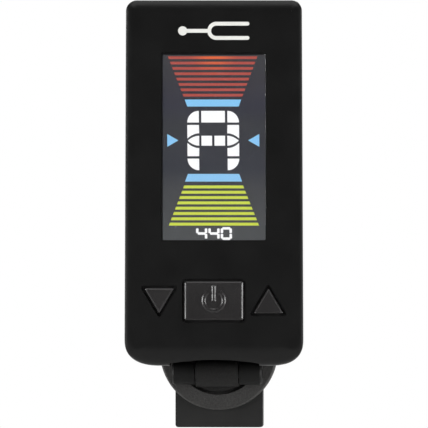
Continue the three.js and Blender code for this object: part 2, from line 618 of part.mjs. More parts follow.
function pushSwitch(x) {
  const { halfWidth: half, bodyDepth, plungerRadius, plungerDepth } = SWITCH;
  const front = BOARD.frontY - TOUCH - bodyDepth;
  const body = block(x - half, x + half, front, front + bodyDepth, BUTTON.z - half, BUTTON.z + half);
  return join(body, rod(plungerRadius, front - plungerDepth, front + 0.1, x, BUTTON.z, TINY_ROUND));
}

// A cap that stands in its opening, a flange behind the wall that keeps it in, and a stem to its switch.
function button({ x, outline }) {
  const { proud, chamfer, flange, flangeDepth, stem, travelRoom } = BUTTON;
  const flangeFront = innerFrontY + CLEARANCE;
  const plungerTip = BOARD.frontY - TOUCH - SWITCH.bodyDepth - SWITCH.plungerDepth;
  return join(
    chamferedPlate(outline(0), HEAD.frontY - proud, flangeFront + chamfer + 0.1, chamfer, 4),
    plate(outline(flange), flangeFront, flangeFront + flangeDepth, 4),
    rod(stem, flangeFront + flangeDepth - 0.1, plungerTip - travelRoom, x, BUTTON.z, TINY_ROUND),
  );
}

// ---------------------------------------------------------------- power and pickup

const HOLDER = { innerRadius: 10.3, outerRadius: 11.3, backY: -9.65 };
const CONTACT_SLOT = { halfWidth: 2.6, play: 0.4, footEnd: 1.2 }; // footEnd: below the board's top
function cellHolder() {
  const front = BOARD.backY + CLEARANCE;
  const { innerRadius, outerRadius, backY } = HOLDER;
  return cut(
    rod(outerRadius, front, backY, 0, CELL.z, ROUND),
    rod(innerRadius, front - 1, backY + 1, 0, CELL.z, ROUND),
    block(-CONTACT_SLOT.halfWidth, CONTACT_SLOT.halfWidth, front - 1, backY + 1, CELL.z, CELL.z + PLENTY),
  );
}

function coinCell() {
  const { radius, frontY, backY, z } = CELL;
  return turned(
    [[0, frontY], [radius - 1.6, frontY], [radius - 1.1, frontY + 0.4], [radius - 0.3, frontY + 0.5],
      [radius, frontY + 0.8], [radius, backY - 0.2], [radius - 0.2, backY], [0, backY]],
    0, z);
}

// Both contacts are strips bent from sheet: a foot on the board and a tongue that meets the cell.
const SHEET = 0.25;
const TONGUE = { halfWidth: 2, footLength: 4, bend: 0.5, contact: 3, tip: 4.2, gap: 0.08 }; // lengths along Z
function negativeContact() {
  const foot = BOARD.backY + CLEARANCE;
  const back = CELL.frontY - TONGUE.gap;
  const [low, bend] = [CELL.z - TONGUE.footLength, CELL.z - TONGUE.bend];
  const [contact, tip] = [CELL.z + TONGUE.contact, CELL.z + TONGUE.tip];
  const strip = polygon([
    [foot, low], [foot + SHEET, low], [foot + SHEET, bend], [back, contact], [back, tip],
    [back - SHEET, tip], [back - SHEET, contact], [foot, bend + 0.1],
  ]);
  return bar(strip, -TONGUE.halfWidth, TONGUE.halfWidth);
}

function positiveContact() {
  const foot = BOARD.backY + CLEARANCE;
  const [near, far] = [CELL.z + CELL.radius + CLEARANCE, BOARD.top - CONTACT_SLOT.footEnd];
  const strip = polygon([
    [foot, near], [HOLDER.backY, near], [HOLDER.backY, near + SHEET], [foot + SHEET, near + SHEET],
    [foot + SHEET, far], [foot, far],
  ]);
  const halfWidth = CONTACT_SLOT.halfWidth - CONTACT_SLOT.play;
  return bar(strip, -halfWidth, halfWidth);
}

// The cover: a flange that lies flush in the back, a body through the opening, and tabs under the ledge.
function batteryCover() {
  const { radius, bodyRadius, flangeY, backY, tabRadius } = COVER;
  const disc = turned(
    [[0, TAB.frontY], [bodyRadius, TAB.frontY], [bodyRadius, flangeY], [radius, flangeY],
      [radius, backY - 0.2], [radius - 0.2, backY], [0, backY]],
    0, CELL.z);
  const tabs = tabAngles.map((angle) => spoke(angle, tabRadius, TAB.halfWidth, TAB.frontY, TAB.backY));
  const { halfWidth, halfHeight, depth, corner } = COIN_SLOT;
  const slot = roundedBox(halfWidth, CELL.z - halfHeight, CELL.z + halfHeight, corner);
  return cut(join(disc, ...tabs), plate(slot, backY - depth, backY + 1, 3));
}

function piezoDisc() {
  const { z, plateRadius, ceramicRadius, backY, plate: thick, ceramic } = PIEZO;
  const step = backY - thick;
  return turned(
    [[0, step - ceramic], [ceramicRadius, step - ceramic], [ceramicRadius, step], [plateRadius, step],
      [plateRadius, backY], [0, backY]],
    0, z, SMALL_ROUND);
}

// A lead from the pickup to the board, slack between its two solder points.
function piezoLead(x) {
  const { radius, steps, sides, spread, drop } = LEAD;
  const start = new THREE.Vector3(x, PIEZO.backY - PIEZO.plate - PIEZO.ceramic - 0.5, PIEZO.z - 1);
  const end = new THREE.Vector3(x * spread, BOARD.backY + 0.5, PIEZO.z - drop);
  const route = new THREE.CubicBezierCurve3(
    start,
    start.clone().add(new THREE.Vector3(x * 0.4, -1.6, -1.5)),
    end.clone().add(new THREE.Vector3(0, 2, -1)),
    end,
  );
  const options = { steps, extrudePath: route, bevelEnabled: false };
  return solid(new THREE.ExtrudeGeometry(circle(radius, sides), options));
}

// ---------------------------------------------------------------- the assembly

piece('clip_front_arm', clipFrontArm(), smoothBlack);
piece('front_pad', pad(CLIP.innerY - PAD_SEAT, 0), softRubber);
piece('clip_rear_arm', clipRearArm(), smoothBlack);
piece('rear_pad', pad(JAW_GAP, rearInnerY + PAD_SEAT), softRubber);
piece('pivot_pin', axle(PIVOT.pinRadius, -PIVOT.pinHalfLength, PIVOT.pinHalfLength, PIVOT.y, PIVOT.z), steel);
piece('torsion_spring', torsionSpring(), steel);

piece('swivel_disc', swivelDisc(), grainedBlack);
piece('swivel_screw', screw(SWIVEL_SCREW, 0, SWIVEL.z), darkSteel);
piece('swivel_washer', swivelWasher(), steel);
piece('hinge_pin', axle(HINGE.pinRadius, -HINGE.pinHalfLength, HINGE.pinHalfLength, HINGE.y, HINGE.z), steel);

piece('front_shell', frontShell(), satinBlack);
piece('rear_shell', rearShell(), satinBlack);
piece('display_window', displayWindow(), darkGlass);
piece('display_frame', displayFrame(), whitePlastic);
piece('lcd_panel', slab(LCD, LCD.frontY, LCD.backY), darkGlass);
piece('light_guide', slab(GUIDE, GUIDE.frontY, GUIDE.backY), clearPlastic);
piece('backlight_led', slab(LED, LED.frontY, BOARD.frontY - TOUCH), whitePlastic);
piece('connector_strip', slab(STRIP, LCD.backY + TOUCH, BOARD.frontY - TOUCH), softRubber);
piece('circuit_board', circuitBoard(), boardGreen);
piece('tuner_chip', slab(CHIP, boardRear, boardRear + CHIP.depth), chipBlack);
piece('crystal', block(CRYSTAL.left, CRYSTAL.right, boardRear, boardRear + CRYSTAL.depth, CRYSTAL.bottom,
  CRYSTAL.top), steel);
for (const each of BUTTONS) {
  piece(`${each.name}_switch`, pushSwitch(each.x), steel);
  piece(`${each.name}_button`, button(each), grainedBlack);
}

piece('cell_holder', cellHolder(), chipBlack);
piece('coin_cell', coinCell(), steel);
piece('negative_contact', negativeContact(), steel);
piece('positive_contact', positiveContact(), steel);
piece('battery_cover', batteryCover(), satinBlack);
piece('piezo_disc', piezoDisc(), brass);
piece('piezo_lead_red', piezoLead(LEAD.x), redInsulation);
piece('piezo_lead_black', piezoLead(-LEAD.x), blackInsulation);

screwPlaces.forEach(({ x, z }, i) => {
  const backY = HEAD.backY - CASE_SCREW.sunk;
  const shape = { ...CASE_SCREW, headY: backY - CASE_SCREW.headHeight, backY };
  piece(`case_screw_${i + 1}`, screw(shape, x, z), darkSteel);
});

export default tuner;
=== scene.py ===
"""The looks of the clip-on tuner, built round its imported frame.

Shapes are made in millimetres, where the bevels and cuts are easy to read, and become metres in piece().
X is to the right of someone facing the screen, Y points back and Z up.
"""

import math

import bmesh
import bpy
from mathutils import Matrix, Vector

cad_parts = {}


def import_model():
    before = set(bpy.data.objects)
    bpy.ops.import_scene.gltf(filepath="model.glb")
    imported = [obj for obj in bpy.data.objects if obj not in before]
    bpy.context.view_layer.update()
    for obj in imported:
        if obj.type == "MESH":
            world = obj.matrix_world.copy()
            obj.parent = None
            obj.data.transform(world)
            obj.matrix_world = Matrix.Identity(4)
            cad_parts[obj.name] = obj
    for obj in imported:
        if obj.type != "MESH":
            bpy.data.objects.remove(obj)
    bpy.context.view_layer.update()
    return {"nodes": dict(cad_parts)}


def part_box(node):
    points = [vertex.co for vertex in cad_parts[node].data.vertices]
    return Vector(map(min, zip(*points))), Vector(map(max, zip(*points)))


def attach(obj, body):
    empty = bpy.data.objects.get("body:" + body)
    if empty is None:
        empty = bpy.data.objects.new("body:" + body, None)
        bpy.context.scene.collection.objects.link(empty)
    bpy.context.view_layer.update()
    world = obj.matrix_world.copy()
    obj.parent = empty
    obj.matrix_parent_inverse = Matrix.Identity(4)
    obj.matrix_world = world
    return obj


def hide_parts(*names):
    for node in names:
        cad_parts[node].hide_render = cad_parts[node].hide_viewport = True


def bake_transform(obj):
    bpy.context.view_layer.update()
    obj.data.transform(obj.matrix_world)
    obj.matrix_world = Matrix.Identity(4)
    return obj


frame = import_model()

MM = 0.001

# ---------------------------------------------------------------- sizes, from the frame


def node_box(name):
    """A CAD node's lowest and highest corners, in millimetres."""
    low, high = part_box(name)
    return low / MM, high / MM


front_low, front_high = node_box("front_shell")
rear_low, rear_high = node_box("rear_shell")
window_low, window_high = node_box("display_window")
arm_low, arm_high = node_box("clip_front_arm")
rear_arm_low, rear_arm_high = node_box("clip_rear_arm")
pad_low, pad_high = node_box("front_pad")
rear_pad_low, rear_pad_high = node_box("rear_pad")
disc_low, disc_high = node_box("swivel_disc")
cover_low, cover_high = node_box("battery_cover")
pin_low, pin_high = node_box("hinge_pin")
pivot_low, pivot_high = node_box("pivot_pin")

HEAD_HALF, HEAD_BOTTOM, HEAD_TOP = front_high.x, front_low.z, front_high.z
FRONT_Y, SEAM_Y, REAR_SEAM_Y = front_low.y, front_high.y, rear_low.y
BACK_Y = cover_high.y
HINGE_Y, HINGE_Z = (pin_low.y + pin_high.y) / 2, (pin_low.z + pin_high.z) / 2
SWIVEL_Z = (disc_low.z + disc_high.z) / 2
BOSS_RADIUS, BOSS_FRONT_Y = arm_high.x, arm_low.y
DISC_RADIUS, RECESS_RADIUS, DISC_FRONT_Y = disc_high.x, 6.85, BOSS_FRONT_Y + 0.1
CLIP_HALF, CLIP_BOTTOM, CLIP_TOP = 6.9, arm_low.z, arm_high.z
REAR_HALF = rear_arm_high.x
ARM_FRONT_Y, ARM_INNER_Y = -4.0, -1.3
REAR_INNER_Y = rear_pad_low.y - ARM_INNER_Y
PIVOT_Y, PIVOT_Z = (pivot_low.y + pivot_high.y) / 2, (pivot_low.z + pivot_high.z) / 2
CELL_Z, COVER_RADIUS = 42.0, cover_high.x
WALL, BACK_WALL = 1.4, 1.3
BUTTON_Z, BUTTON_GAP, BUTTON_FLANGE = 15.3, 0.42, 0.7
BUTTON_PROUD = 0.2

# ---------------------------------------------------------------- outlines


def arc(cx, cy, rx, ry, start, end, steps):
    """Points round part of an ellipse, by angles in degrees."""
    angles = [math.radians(start + (end - start) * i / steps) for i in range(steps + 1)]
    return [(cx + rx * math.cos(a), cy + ry * math.sin(a)) for a in angles]


def rounded_box(half, bottom, top, radius, steps=8):
    """A rectangle, even about X = 0, with round corners."""
    low, high, side = bottom + radius, top - radius, half - radius
    corners = [(side, low, -90), (side, high, 0), (-side, high, 90), (-side, low, 180)]
    return [p for x, z, a in corners for p in arc(x, z, radius, radius, a, a + 90, steps)]


def circle(radius, steps, cx=0.0, cy=0.0):
    return arc(cx, cy, radius, radius, 0, 360, steps)[:-1]


def arrow_outline(x, direction, offset, steps=6):
    """A triangle that points up (1) or down (-1), with its sides moved out by an offset."""
    half_base, height, corner = 2.35, 3.95, 0.14
    lean = math.atan2(half_base, height)
    r = max(0.03, corner + offset / 2)
    moved = offset - r
    base = BUTTON_Z - direction * (height / 2 + moved)
    tip = BUTTON_Z + direction * (height / 2 + moved / math.sin(lean))
    reach, slope = abs(tip - base) * math.tan(lean), math.degrees(lean)
    half_turn = 0 if direction > 0 else 180
    corners = [
        (x + direction * reach, base, half_turn - 90, half_turn + slope),
        (x, tip, half_turn + slope, half_turn + 180 - slope),
        (x - direction * reach, base, half_turn + 180 - slope, half_turn + 270),
    ]
    return [p for cx, cy, a, b in corners for p in arc(cx, cy, r, r, a, b, steps)]


def power_outline(offset, steps=6):
    """The power button's rectangle, with its sides moved out by an offset."""
    half_width, half_height, corner = 4.6 + offset, 3.05 + offset, 0.3 + offset
    return rounded_box(half_width, BUTTON_Z - half_height, BUTTON_Z + half_height, corner, steps)


ARROW_X = 8.6
BUTTON_OUTLINES = {
    "down": lambda offset: arrow_outline(-ARROW_X, -1, offset),
    "power": power_outline,
    "up": lambda offset: arrow_outline(ARROW_X, 1, offset),
}

# ---------------------------------------------------------------- meshes


def mesh_object(vertices, faces):
    """A new object with outward faces, from points in millimetres."""
    mesh = bpy.data.meshes.new("shape")
    mesh.from_pydata(vertices, [], faces)
    made = bmesh.new()
    made.from_mesh(mesh)
    bmesh.ops.recalc_face_normals(made, faces=made.faces)
    made.to_mesh(mesh)
    made.free()
    body = bpy.data.objects.new("shape", mesh)
    bpy.context.scene.collection.objects.link(body)
    return body


def loft(rings):
    """A closed body through rings of as many points each, with a flat end at the first and the last."""
    count = len(rings[0])
    vertices = [point for ring in rings for point in ring]
    faces = [list(range(count)), [len(vertices) - count + i for i in range(count)]]
    for row in range(len(rings) - 1):
        for i in range(count):
            j = (i + 1) % count
            a, b = row * count, (row + 1) * count
            faces.append([a + i, a + j, b + j, b + i])
    return mesh_object(vertices, faces)


def plate(outline, front_y, back_y):
    """An outline in X and Z as a plate between two Y planes."""
    return loft([[(x, y, z) for x, z in outline] for y in (front_y, back_y)])


def bar(profile, x0, x1):
    """A profile in Y and Z as a bar between two X planes."""
    return loft([[(x, y, z) for y, z in profile] for x in (x0, x1)])


def turned(profile, x, z, steps=96):
    """A lathed body about a line along Y. The profile holds (radius, y), open at the axis."""
    rings = [[(x + r * math.cos(a), y, z + r * math.sin(a)) for a in turn(steps)] for r, y in profile]
    return loft(rings)


def rolled(profile, y, z, steps=64):
    """The same about a line along X. The profile holds (radius, x)."""
    return loft([[(x, y + r * math.cos(a), z + r * math.sin(a)) for a in turn(steps)] for r, x in profile])


def turn(steps):
    """The angles of a full turn in equal steps, in radians."""
    return [2 * math.pi * i / steps for i in range(steps)]


def settle(body):
    """Applies the body's modifiers."""
    bpy.context.view_layer.update()
    evaluated = body.evaluated_get(bpy.context.evaluated_depsgraph_get())
    mesh = bpy.data.meshes.new_from_object(evaluated)
    body.modifiers.clear()
    body.data = mesh
    return body


def combine(body, tools, operation):
    """Cuts or joins each tool in turn and deletes it."""
    for tool in tools:
        modifier = body.modifiers.new(operation, "BOOLEAN")
        modifier.operation = operation
        modifier.solver = "MANIFOLD"
        modifier.object = tool
        settle(body)
        bpy.data.objects.remove(tool)
    return body


def cut(body, *tools):
    return combine(body, tools, "DIFFERENCE")


def join(body, *others):
    return combine(body, others, "UNION")


def soften(body, width, segments=3, angle=30):
    """Rounds every edge sharper than the angle, and puts the new faces on the material's edge finish, whose
    lighter colour is a painted highlight with some rubbed wear.
    """
    made = bmesh.new()
    made.from_mesh(body.data)
    bmesh.ops.remove_doubles(made, verts=made.verts, dist=1e-4)
    bmesh.ops.dissolve_limit(made, angle_limit=math.radians(0.1), verts=made.verts, edges=made.edges)
    made.to_mesh(body.data)
    made.free()
    bevel = body.modifiers.new("edges", "BEVEL")
    bevel.width = width
    bevel.segments = segments
    bevel.limit_method = "ANGLE"
    bevel.angle_limit = math.radians(angle)
    bevel.material = 1
    return settle(body)


def edge_finish(body, chosen):
    """Puts the chosen faces, by their normals, on the second material, which on most pieces is the edge
    finish with its painted highlight.
    """
    for face in body.data.polygons:
        if chosen(face.normal):
            face.material_index = 1
    return body


def smooth(body):
    """Shades the body smooth, with flat faces kept flat."""
    body.data.shade_smooth()
    normals = body.modifiers.new("normals", "WEIGHTED_NORMAL")
    normals.weight = 100
    return settle(body)


# ---------------------------------------------------------------- materials


def link(tree, source, target):
    tree.links.new(source, target)


def node(tree, kind, **inputs):
    made = tree.nodes.new(kind)
    for name, value in inputs.items():
        made.inputs[name.replace("_", " ")].default_value = value
    return made


def noise(tree, size, detail):
    """A noise whose features are about a size across, in millimetres, fixed to the piece."""
    place = node(tree, "ShaderNodeTexCoord")
    made = node(tree, "ShaderNodeTexNoise", Scale=1 / (size * MM), Detail=detail)
    link(tree, place.outputs["Object"], made.inputs["Vector"])
    return made.outputs["Fac"]


def spread(tree, value, low, high):
    """A noise's middle range, stretched to run from low to high."""
    made = node(tree, "ShaderNodeMapRange", To_Min=low, To_Max=high, From_Min=0.3, From_Max=0.7)
    link(tree, value, made.inputs["Value"])
    return made.outputs["Result"]


def tint(tree, value, first, second):
    """A colour that runs from the first to the second as a value goes from 0 to 1."""
    made = tree.nodes.new("ShaderNodeMix")
    made.data_type = "RGBA"
    made.inputs["A"].default_value = (*first, 1)
    made.inputs["B"].default_value = (*second, 1)
    link(tree, value, made.inputs["Factor"])
    return made.outputs["Result"]


def scaled(colour, factor):
    return tuple(min(1.0, c * factor) for c in colour)


def blank(name):
    """A new node material, with its tree and its shader."""
    material = bpy.data.materials.new(name)
    material.use_nodes = True
    return material, material.node_tree, material.node_tree.nodes["Principled BSDF"]


def surface(name, colour, roughness, grain, height, blotch=0.12, metallic=0.0, specular=0.5, variation=0.06,
            speckle=0.0):
    """A procedural finish: fine grain in the relief, and broad blotches in the colour and roughness.

    grain is the size of the grain and height its relief, in millimetres. speckle is how far the grain
    lightens and darkens the colour.
    """
    material, tree, shader = blank(name)
    broad = noise(tree, 5.0, 4)
    fine = noise(tree, grain, 3)
    colours = tint(tree, spread(tree, broad, 0, 1), scaled(colour, 1 - blotch), scaled(colour, 1 + blotch))
    if speckle:
        shade = node(tree, "ShaderNodeVectorMath")
        shade.operation = "SCALE"
        link(tree, colours, shade.inputs[0])
        link(tree, spread(tree, fine, 1 - speckle, 1 + speckle), shade.inputs["Scale"])
        colours = shade.outputs["Vector"]
    link(tree, colours, shader.inputs["Base Color"])
    rough = node(tree, "ShaderNodeMath")
    rough.operation = "ADD"
    link(tree, spread(tree, fine, -variation, variation), rough.inputs[0])
    link(tree, spread(tree, broad, roughness - variation / 2, roughness + variation / 2), rough.inputs[1])
    link(tree, rough.outputs["Value"], shader.inputs["Roughness"])
    relief = node(tree, "ShaderNodeBump", Strength=1.0, Distance=height * MM)
    link(tree, fine, relief.inputs["Height"])
    link(tree, relief.outputs["Normal"], shader.inputs["Normal"])
    shader.inputs["Metallic"].default_value = metallic
    shader.inputs["Specular IOR Level"].default_value = specular
    return material


def finish_pair(name, colour, roughness, grain, height, edge_finish=1.6, specular=0.5, edge_gloss=None, **more):
    """A finish, and the same smoother and lighter for its edges: the lighter edge colour is a painted
    highlight, with some rubbed wear. edge_gloss is the edges' specular.
    """
    body = surface(name, colour, roughness, grain, height, specular=specular, **more)
    edge = surface(name + "_edge", scaled(colour, edge_finish), roughness * 0.6, grain * 1.5, height * 0.3,
                   specular=edge_gloss or specular, **more)
    return body, edge


# Each edge finish below is lighter than its body by a factor (1.6 unless given): that lighter colour is a
# painted highlight on chamfers and rims, with some rubbed wear.
SATIN = finish_pair(
    "satin_case", (0.0022, 0.0022, 0.0022), 0.38, 0.12, 0.0012, specular=0.2, edge_gloss=0.5)
KNUCKLE = finish_pair(
    "satin_knuckle", (0.009, 0.009, 0.0089), 0.5, 0.12, 0.001, specular=0.06, edge_gloss=0.6)
BARREL = finish_pair(
    "grained_knuckle", (0.0135, 0.0133, 0.0131), 0.6, 0.24, 0.03, edge_finish=1.1, blotch=0.08, specular=0.06,
    edge_gloss=0.4, speckle=0.3)
GRAINED = finish_pair(
    "grained_case", (0.0275, 0.0268, 0.0262), 0.65, 0.26, 0.05, edge_finish=1.1, blotch=0.08, specular=0.2,
    speckle=0.35)
CAP = finish_pair(
    "button_cap", (0.0075, 0.0066, 0.0069), 0.38, 0.24, 0.02, edge_finish=1.8, blotch=0.06, specular=0.38,
    speckle=0.2)
CLIP = finish_pair("clip_plastic", (0.0105, 0.0105, 0.0102), 0.5, 0.16, 0.003, specular=0.24)
RUBBER = finish_pair("pad_rubber", (0.018, 0.018, 0.018), 0.8, 0.1, 0.006, specular=0.25)
STEEL = finish_pair("bright_steel", (0.55, 0.55, 0.56), 0.28, 0.25, 0.001, metallic=1.0, edge_finish=1.2)
DARK_STEEL = finish_pair("blackened_steel", (0.09, 0.09, 0.095), 0.36, 0.2, 0.002, metallic=1.0, edge_finish=2.0)

# ---------------------------------------------------------------- pieces


def piece(body, name, rides_on, finish, replaced=()):
    """Names a finished body, turns it into metres and fastens it to the frame."""
    body.name = name
    body.data.name = name
    body.data.transform(Matrix.Scale(MM, 4))
    body.data.materials.clear()
    for material in finish:
        body.data.materials.append(material)
    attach(body, rides_on)
    if replaced:
        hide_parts(*replaced)
    return body


# ---------------------------------------------------------------- the head's form

CORNER_TOP, CORNER_WIDTH, CORNER_HEIGHT, CORNER_POWER = 1.7, 5.8, 4.3, 2.6
TOP_HALF, LOW_HALF = 13.84, 14.07  # the head is a little wider below
ROLL_SIDE, ROLL_TOP, ROLL_BOTTOM = (1.5, 0.35), (2.0, 0.9), (3.4, 2.0)  # across the face, then in depth
ROLL_POWER_SIDE, ROLL_POWER_END = 2 / 3, 1.0  # 1 is an ellipse; less leaves the face slowly and turns quickly
BACK_ROLL_SIDE, BACK_ROLL_END = 0.8, 1.0
WIDEST_Y, BACK_HALF = FRONT_Y + 0.5, 13.2


def head_outline():
    """The head's outline as points with their outward normals. The lower corners are superellipses."""
    low, high = HEAD_BOTTOM + CORNER_HEIGHT, HEAD_TOP - CORNER_TOP
    corners = [
        (LOW_HALF - CORNER_WIDTH, low, CORNER_WIDTH, CORNER_HEIGHT, -90, 32, CORNER_POWER),
        (TOP_HALF - CORNER_TOP, high, CORNER_TOP, CORNER_TOP, 0, 14, 2),
        (CORNER_TOP - TOP_HALF, high, CORNER_TOP, CORNER_TOP, 90, 14, 2),
        (CORNER_WIDTH - LOW_HALF, low, CORNER_WIDTH, CORNER_HEIGHT, 180, 32, CORNER_POWER),
    ]
    stations = []
    for cx, cz, rx, rz, start, steps, power in corners:
        for i in range(steps + 1):
            a = math.radians(start + 90 * i / steps)
            u, v = math.cos(a), math.sin(a)
            reach = Vector((math.copysign(abs(u) ** (2 / power), u), math.copysign(abs(v) ** (2 / power), v)))
            slope = 2 - 2 / power
            normal = Vector((math.copysign(abs(u) ** slope, u) / rx, math.copysign(abs(v) ** slope, v) / rz))
            stations.append((Vector((cx + rx * reach.x, cz + rz * reach.y)), normal.normalized()))
    return stations


def by_side(normal, side, top, bottom):
    """A value that turns from the side's to the end's as the outline turns."""
    end = top if normal.y > 0 else bottom
    return side * normal.x**2 + end * normal.y**2


def draft(y):
    """How far the sides have drawn in at a depth."""
    return (HEAD_HALF - BACK_HALF) * (y - WIDEST_Y) / (BACK_Y - WIDEST_Y)


def head_ring(inset, depth):
    """One ring of the head, from functions of the outline's normal."""
    ring = []
    for point, normal in head_outline():
        moved = point - normal * inset(normal)
        ring.append((moved.x, depth(normal), moved.y))
    return ring


def front_form():
    """The front shell's outer form: its sides up from the seam, then the roll on to the flat face."""
    def drawn_in(y):
        return lambda n: draft(y) * n.x**2

    rings = [head_ring(drawn_in(SEAM_Y), lambda n: SEAM_Y)]
    across, deep = zip(ROLL_SIDE, ROLL_TOP, ROLL_BOTTOM)
    steps = 18

    def power(n):
        return by_side(n, ROLL_POWER_SIDE, ROLL_POWER_END, ROLL_POWER_END)

    for i in range(steps + 1):
        a = math.pi / 2 * i / steps
        u, v = max(0.0, math.cos(a)), math.sin(a)
        rings.append(head_ring(
            lambda n: by_side(n, *across) * (1 - u ** power(n)),
            lambda n: FRONT_Y + by_side(n, *deep) * (1 - v ** power(n)),
        ))
    return loft(rings)


def back_form():
    """The rear shell's outer form, from the seam to the flat back."""
    def roll(n):
        return by_side(n, BACK_ROLL_SIDE, BACK_ROLL_END, BACK_ROLL_END)

    rings = [head_ring(lambda n: draft(REAR_SEAM_Y) * n.x**2, lambda n: REAR_SEAM_Y)]
    steps = 8
    for i in range(steps + 1):
        a = math.pi / 2 * i / steps
        rings.append(head_ring(
            lambda n: roll(n) * (1 - math.cos(a)) + draft(BACK_Y) * n.x**2,
            lambda n: BACK_Y - roll(n) * (1 - math.sin(a)),
        ))
    return loft(rings)


def hollow(front_y, back_y):
    """The space inside the head between two depths."""
    side_wall, floor, roof, corner = 1.7, 2.9, 1.5, 1.2
    inside = rounded_box(HEAD_HALF - side_wall, HEAD_BOTTOM + floor, HEAD_TOP - roof, corner, 4)
    return plate(inside, front_y, back_y)


NOTCH_HALF, NOTCH_SHOULDER, NOTCH_CROWN = 7.4, 5.6, 6.2
NOTCH_FRONT_HALF, NOTCH_FRONT_DROP = 6.95, 0.2  # it is narrower and lower at the front
NOTCH_FLARE_Y = -10.5


def hinge_notch():
    """The notch that the hinge barrel turns in, with an arched roof. It flares back to the barrel."""
    def section(half, drop, y):
        steps = 24
        roof = [half * (1 - 2 * i / steps) for i in range(steps + 1)]
        rise = NOTCH_CROWN - NOTCH_SHOULDER
        arch = [(x, NOTCH_SHOULDER - drop + rise * (1 - (x / half) ** 2)) for x in roof]
        below = HEAD_BOTTOM - 3
        return [(x, y, z) for x, z in [(-half, below), (half, below), *arch]]

    return loft([
        section(NOTCH_FRONT_HALF, NOTCH_FRONT_DROP, FRONT_Y - 1),
        section(NOTCH_HALF, 0, NOTCH_FLARE_Y),
        section(NOTCH_HALF, 0, BACK_Y + 1),
    ])


def window_outline(gap):
    """The window's outline, moved out by a gap."""
    return rounded_box(window_high.x + gap, window_low.z - gap, window_high.z + gap, 0.3, 4)


def front_case():
    """The front shell. Its window is cut after the edges are rounded, so the window's rim stays crisp."""
    inner_y = FRONT_Y + WALL
    play, shelf = 0.1, 0.65
    body = cut(
        front_form(),
        hollow(inner_y, SEAM_Y + 1),
        *[plate(outline(BUTTON_GAP), FRONT_Y - 1, inner_y + 1) for outline in BUTTON_OUTLINES.values()],
        hinge_notch(),
    )
    soften(body, 0.1)
    seat = plate(window_outline(play), FRONT_Y - 1, window_high.y + play)
    opening = plate(window_outline(-shelf), FRONT_Y, inner_y + 1)
    return smooth(cut(body, seat, opening))


def side_knuckle(side):
    """A hinge knuckle, chamfered at its outer end, with the web that holds it to the shell."""
    inner, outer, radius, chamfer = 3.5, 7.08, 1.8, 0.28
    profile = [(radius, side * inner), (radius, side * (outer - chamfer)), (radius - chamfer, side * outer)]
    reach = sorted((side * inner, side * (outer - chamfer)))
    front, back, low, high = HINGE_Y - 0.4, BACK_Y - 0.1, HINGE_Z + 0.4, NOTCH_CROWN + 0.8
    web = [(front, low), (back, low), (back, high), (front, high)]
    return join(rolled(profile, HINGE_Y, HINGE_Z, 96), bar(web, *reach))


SCREW_PLACES = [(x, z) for z in (9.6, 59.0) for x in (-10.4, 10.4)]


def rear_case():
    """The rear shell, with the battery cover's seat, the screws' wells and the outer hinge knuckles."""
    body = cut(
        back_form(),
        hollow(REAR_SEAM_Y - 1, BACK_Y - BACK_WALL),
        plate(circle(COVER_RADIUS + 0.15, 128, 0, CELL_Z), BACK_Y - 0.8, BACK_Y + 1),
        plate(circle(10.2, 96, 0, CELL_Z), BACK_Y - 3, BACK_Y + 1),
        hinge_notch(),
        *[plate(circle(1.6, 48, x, z), BACK_Y - 1.5 + 0.02 * i, BACK_Y + 1)
          for i, (x, z) in enumerate(SCREW_PLACES)],
    )
    join(body, side_knuckle(-1), side_knuckle(1))
    bore = 0.83
    cut(body, rolled([(bore, -9), (bore, 9)], HINGE_Y, HINGE_Z, 40))
    return smooth(soften(body, 0.1))


def battery_cover():
    """A round lid, flush in the back, with a coin slot and a shallow groove round its rim."""
    flange_y, spigot = BACK_Y - 0.7, 9.9
    slot_reach, slot_half, slot_depth = 7, 0.9, 0.9
    groove_outer, groove_inner, groove_depth = 9.75, 9.35, 0.2
    profile = [(spigot, cover_low.y), (spigot, flange_y), (COVER_RADIUS, flange_y), (COVER_RADIUS, BACK_Y)]
    slot = rounded_box(slot_reach, CELL_Z - slot_half, CELL_Z + slot_half, 0.7)
    groove = cut(plate(circle(groove_outer, 128, 0, CELL_Z), BACK_Y - groove_depth, BACK_Y + 1),
                 plate(circle(groove_inner, 128, 0, CELL_Z), BACK_Y - 1, BACK_Y + 2))
    body = cut(turned(profile, 0, CELL_Z, 160), plate(slot, BACK_Y - slot_depth, BACK_Y + 1), groove)
    return smooth(soften(body, 0.12))


# ---------------------------------------------------------------- buttons

CAP_CHAMFER = 0.22


def cap(outline):
    """A button's cap, from its chamfered face to the flange behind the wall."""
    face_y = FRONT_Y - BUTTON_PROUD
    flange_y = FRONT_Y + WALL + 0.1
    rings = [(face_y, -CAP_CHAMFER), (face_y + CAP_CHAMFER, 0.0), (flange_y, 0.0)]
    body = loft([[(x, y, z) for x, z in outline(offset)] for y, offset in rings])
    join(body, plate(outline(BUTTON_FLANGE), flange_y - 0.01, flange_y + 0.5))
    return body


def power_symbol():
    """The raised power mark with sloped sides: a ring open at the top, and a bar in the opening."""
    ring_z, radius, bar_top = BUTTON_Z + 0.07, 1.58, 2.02
    start, end = 127, 413
    face_y = FRONT_Y - BUTTON_PROUD
    bodies = [[], []]
    for half_stroke, y in ((0.13, face_y - 0.17), (0.35, face_y + 0.01)):
        outer = arc(0, ring_z, radius + half_stroke, radius + half_stroke, start, end, 48)
        inner = arc(0, ring_z, radius - half_stroke, radius - half_stroke, end, start, 48)
        low, high = ring_z - half_stroke / 2, ring_z + bar_top + half_stroke
        upright = [(-half_stroke, low), (half_stroke, low), (half_stroke, high), (-half_stroke, high)]
        for rings, outline in zip(bodies, (outer + inner, upright)):
            rings.append([(x, y, z) for x, z in outline])
    return [loft(rings) for rings in bodies]


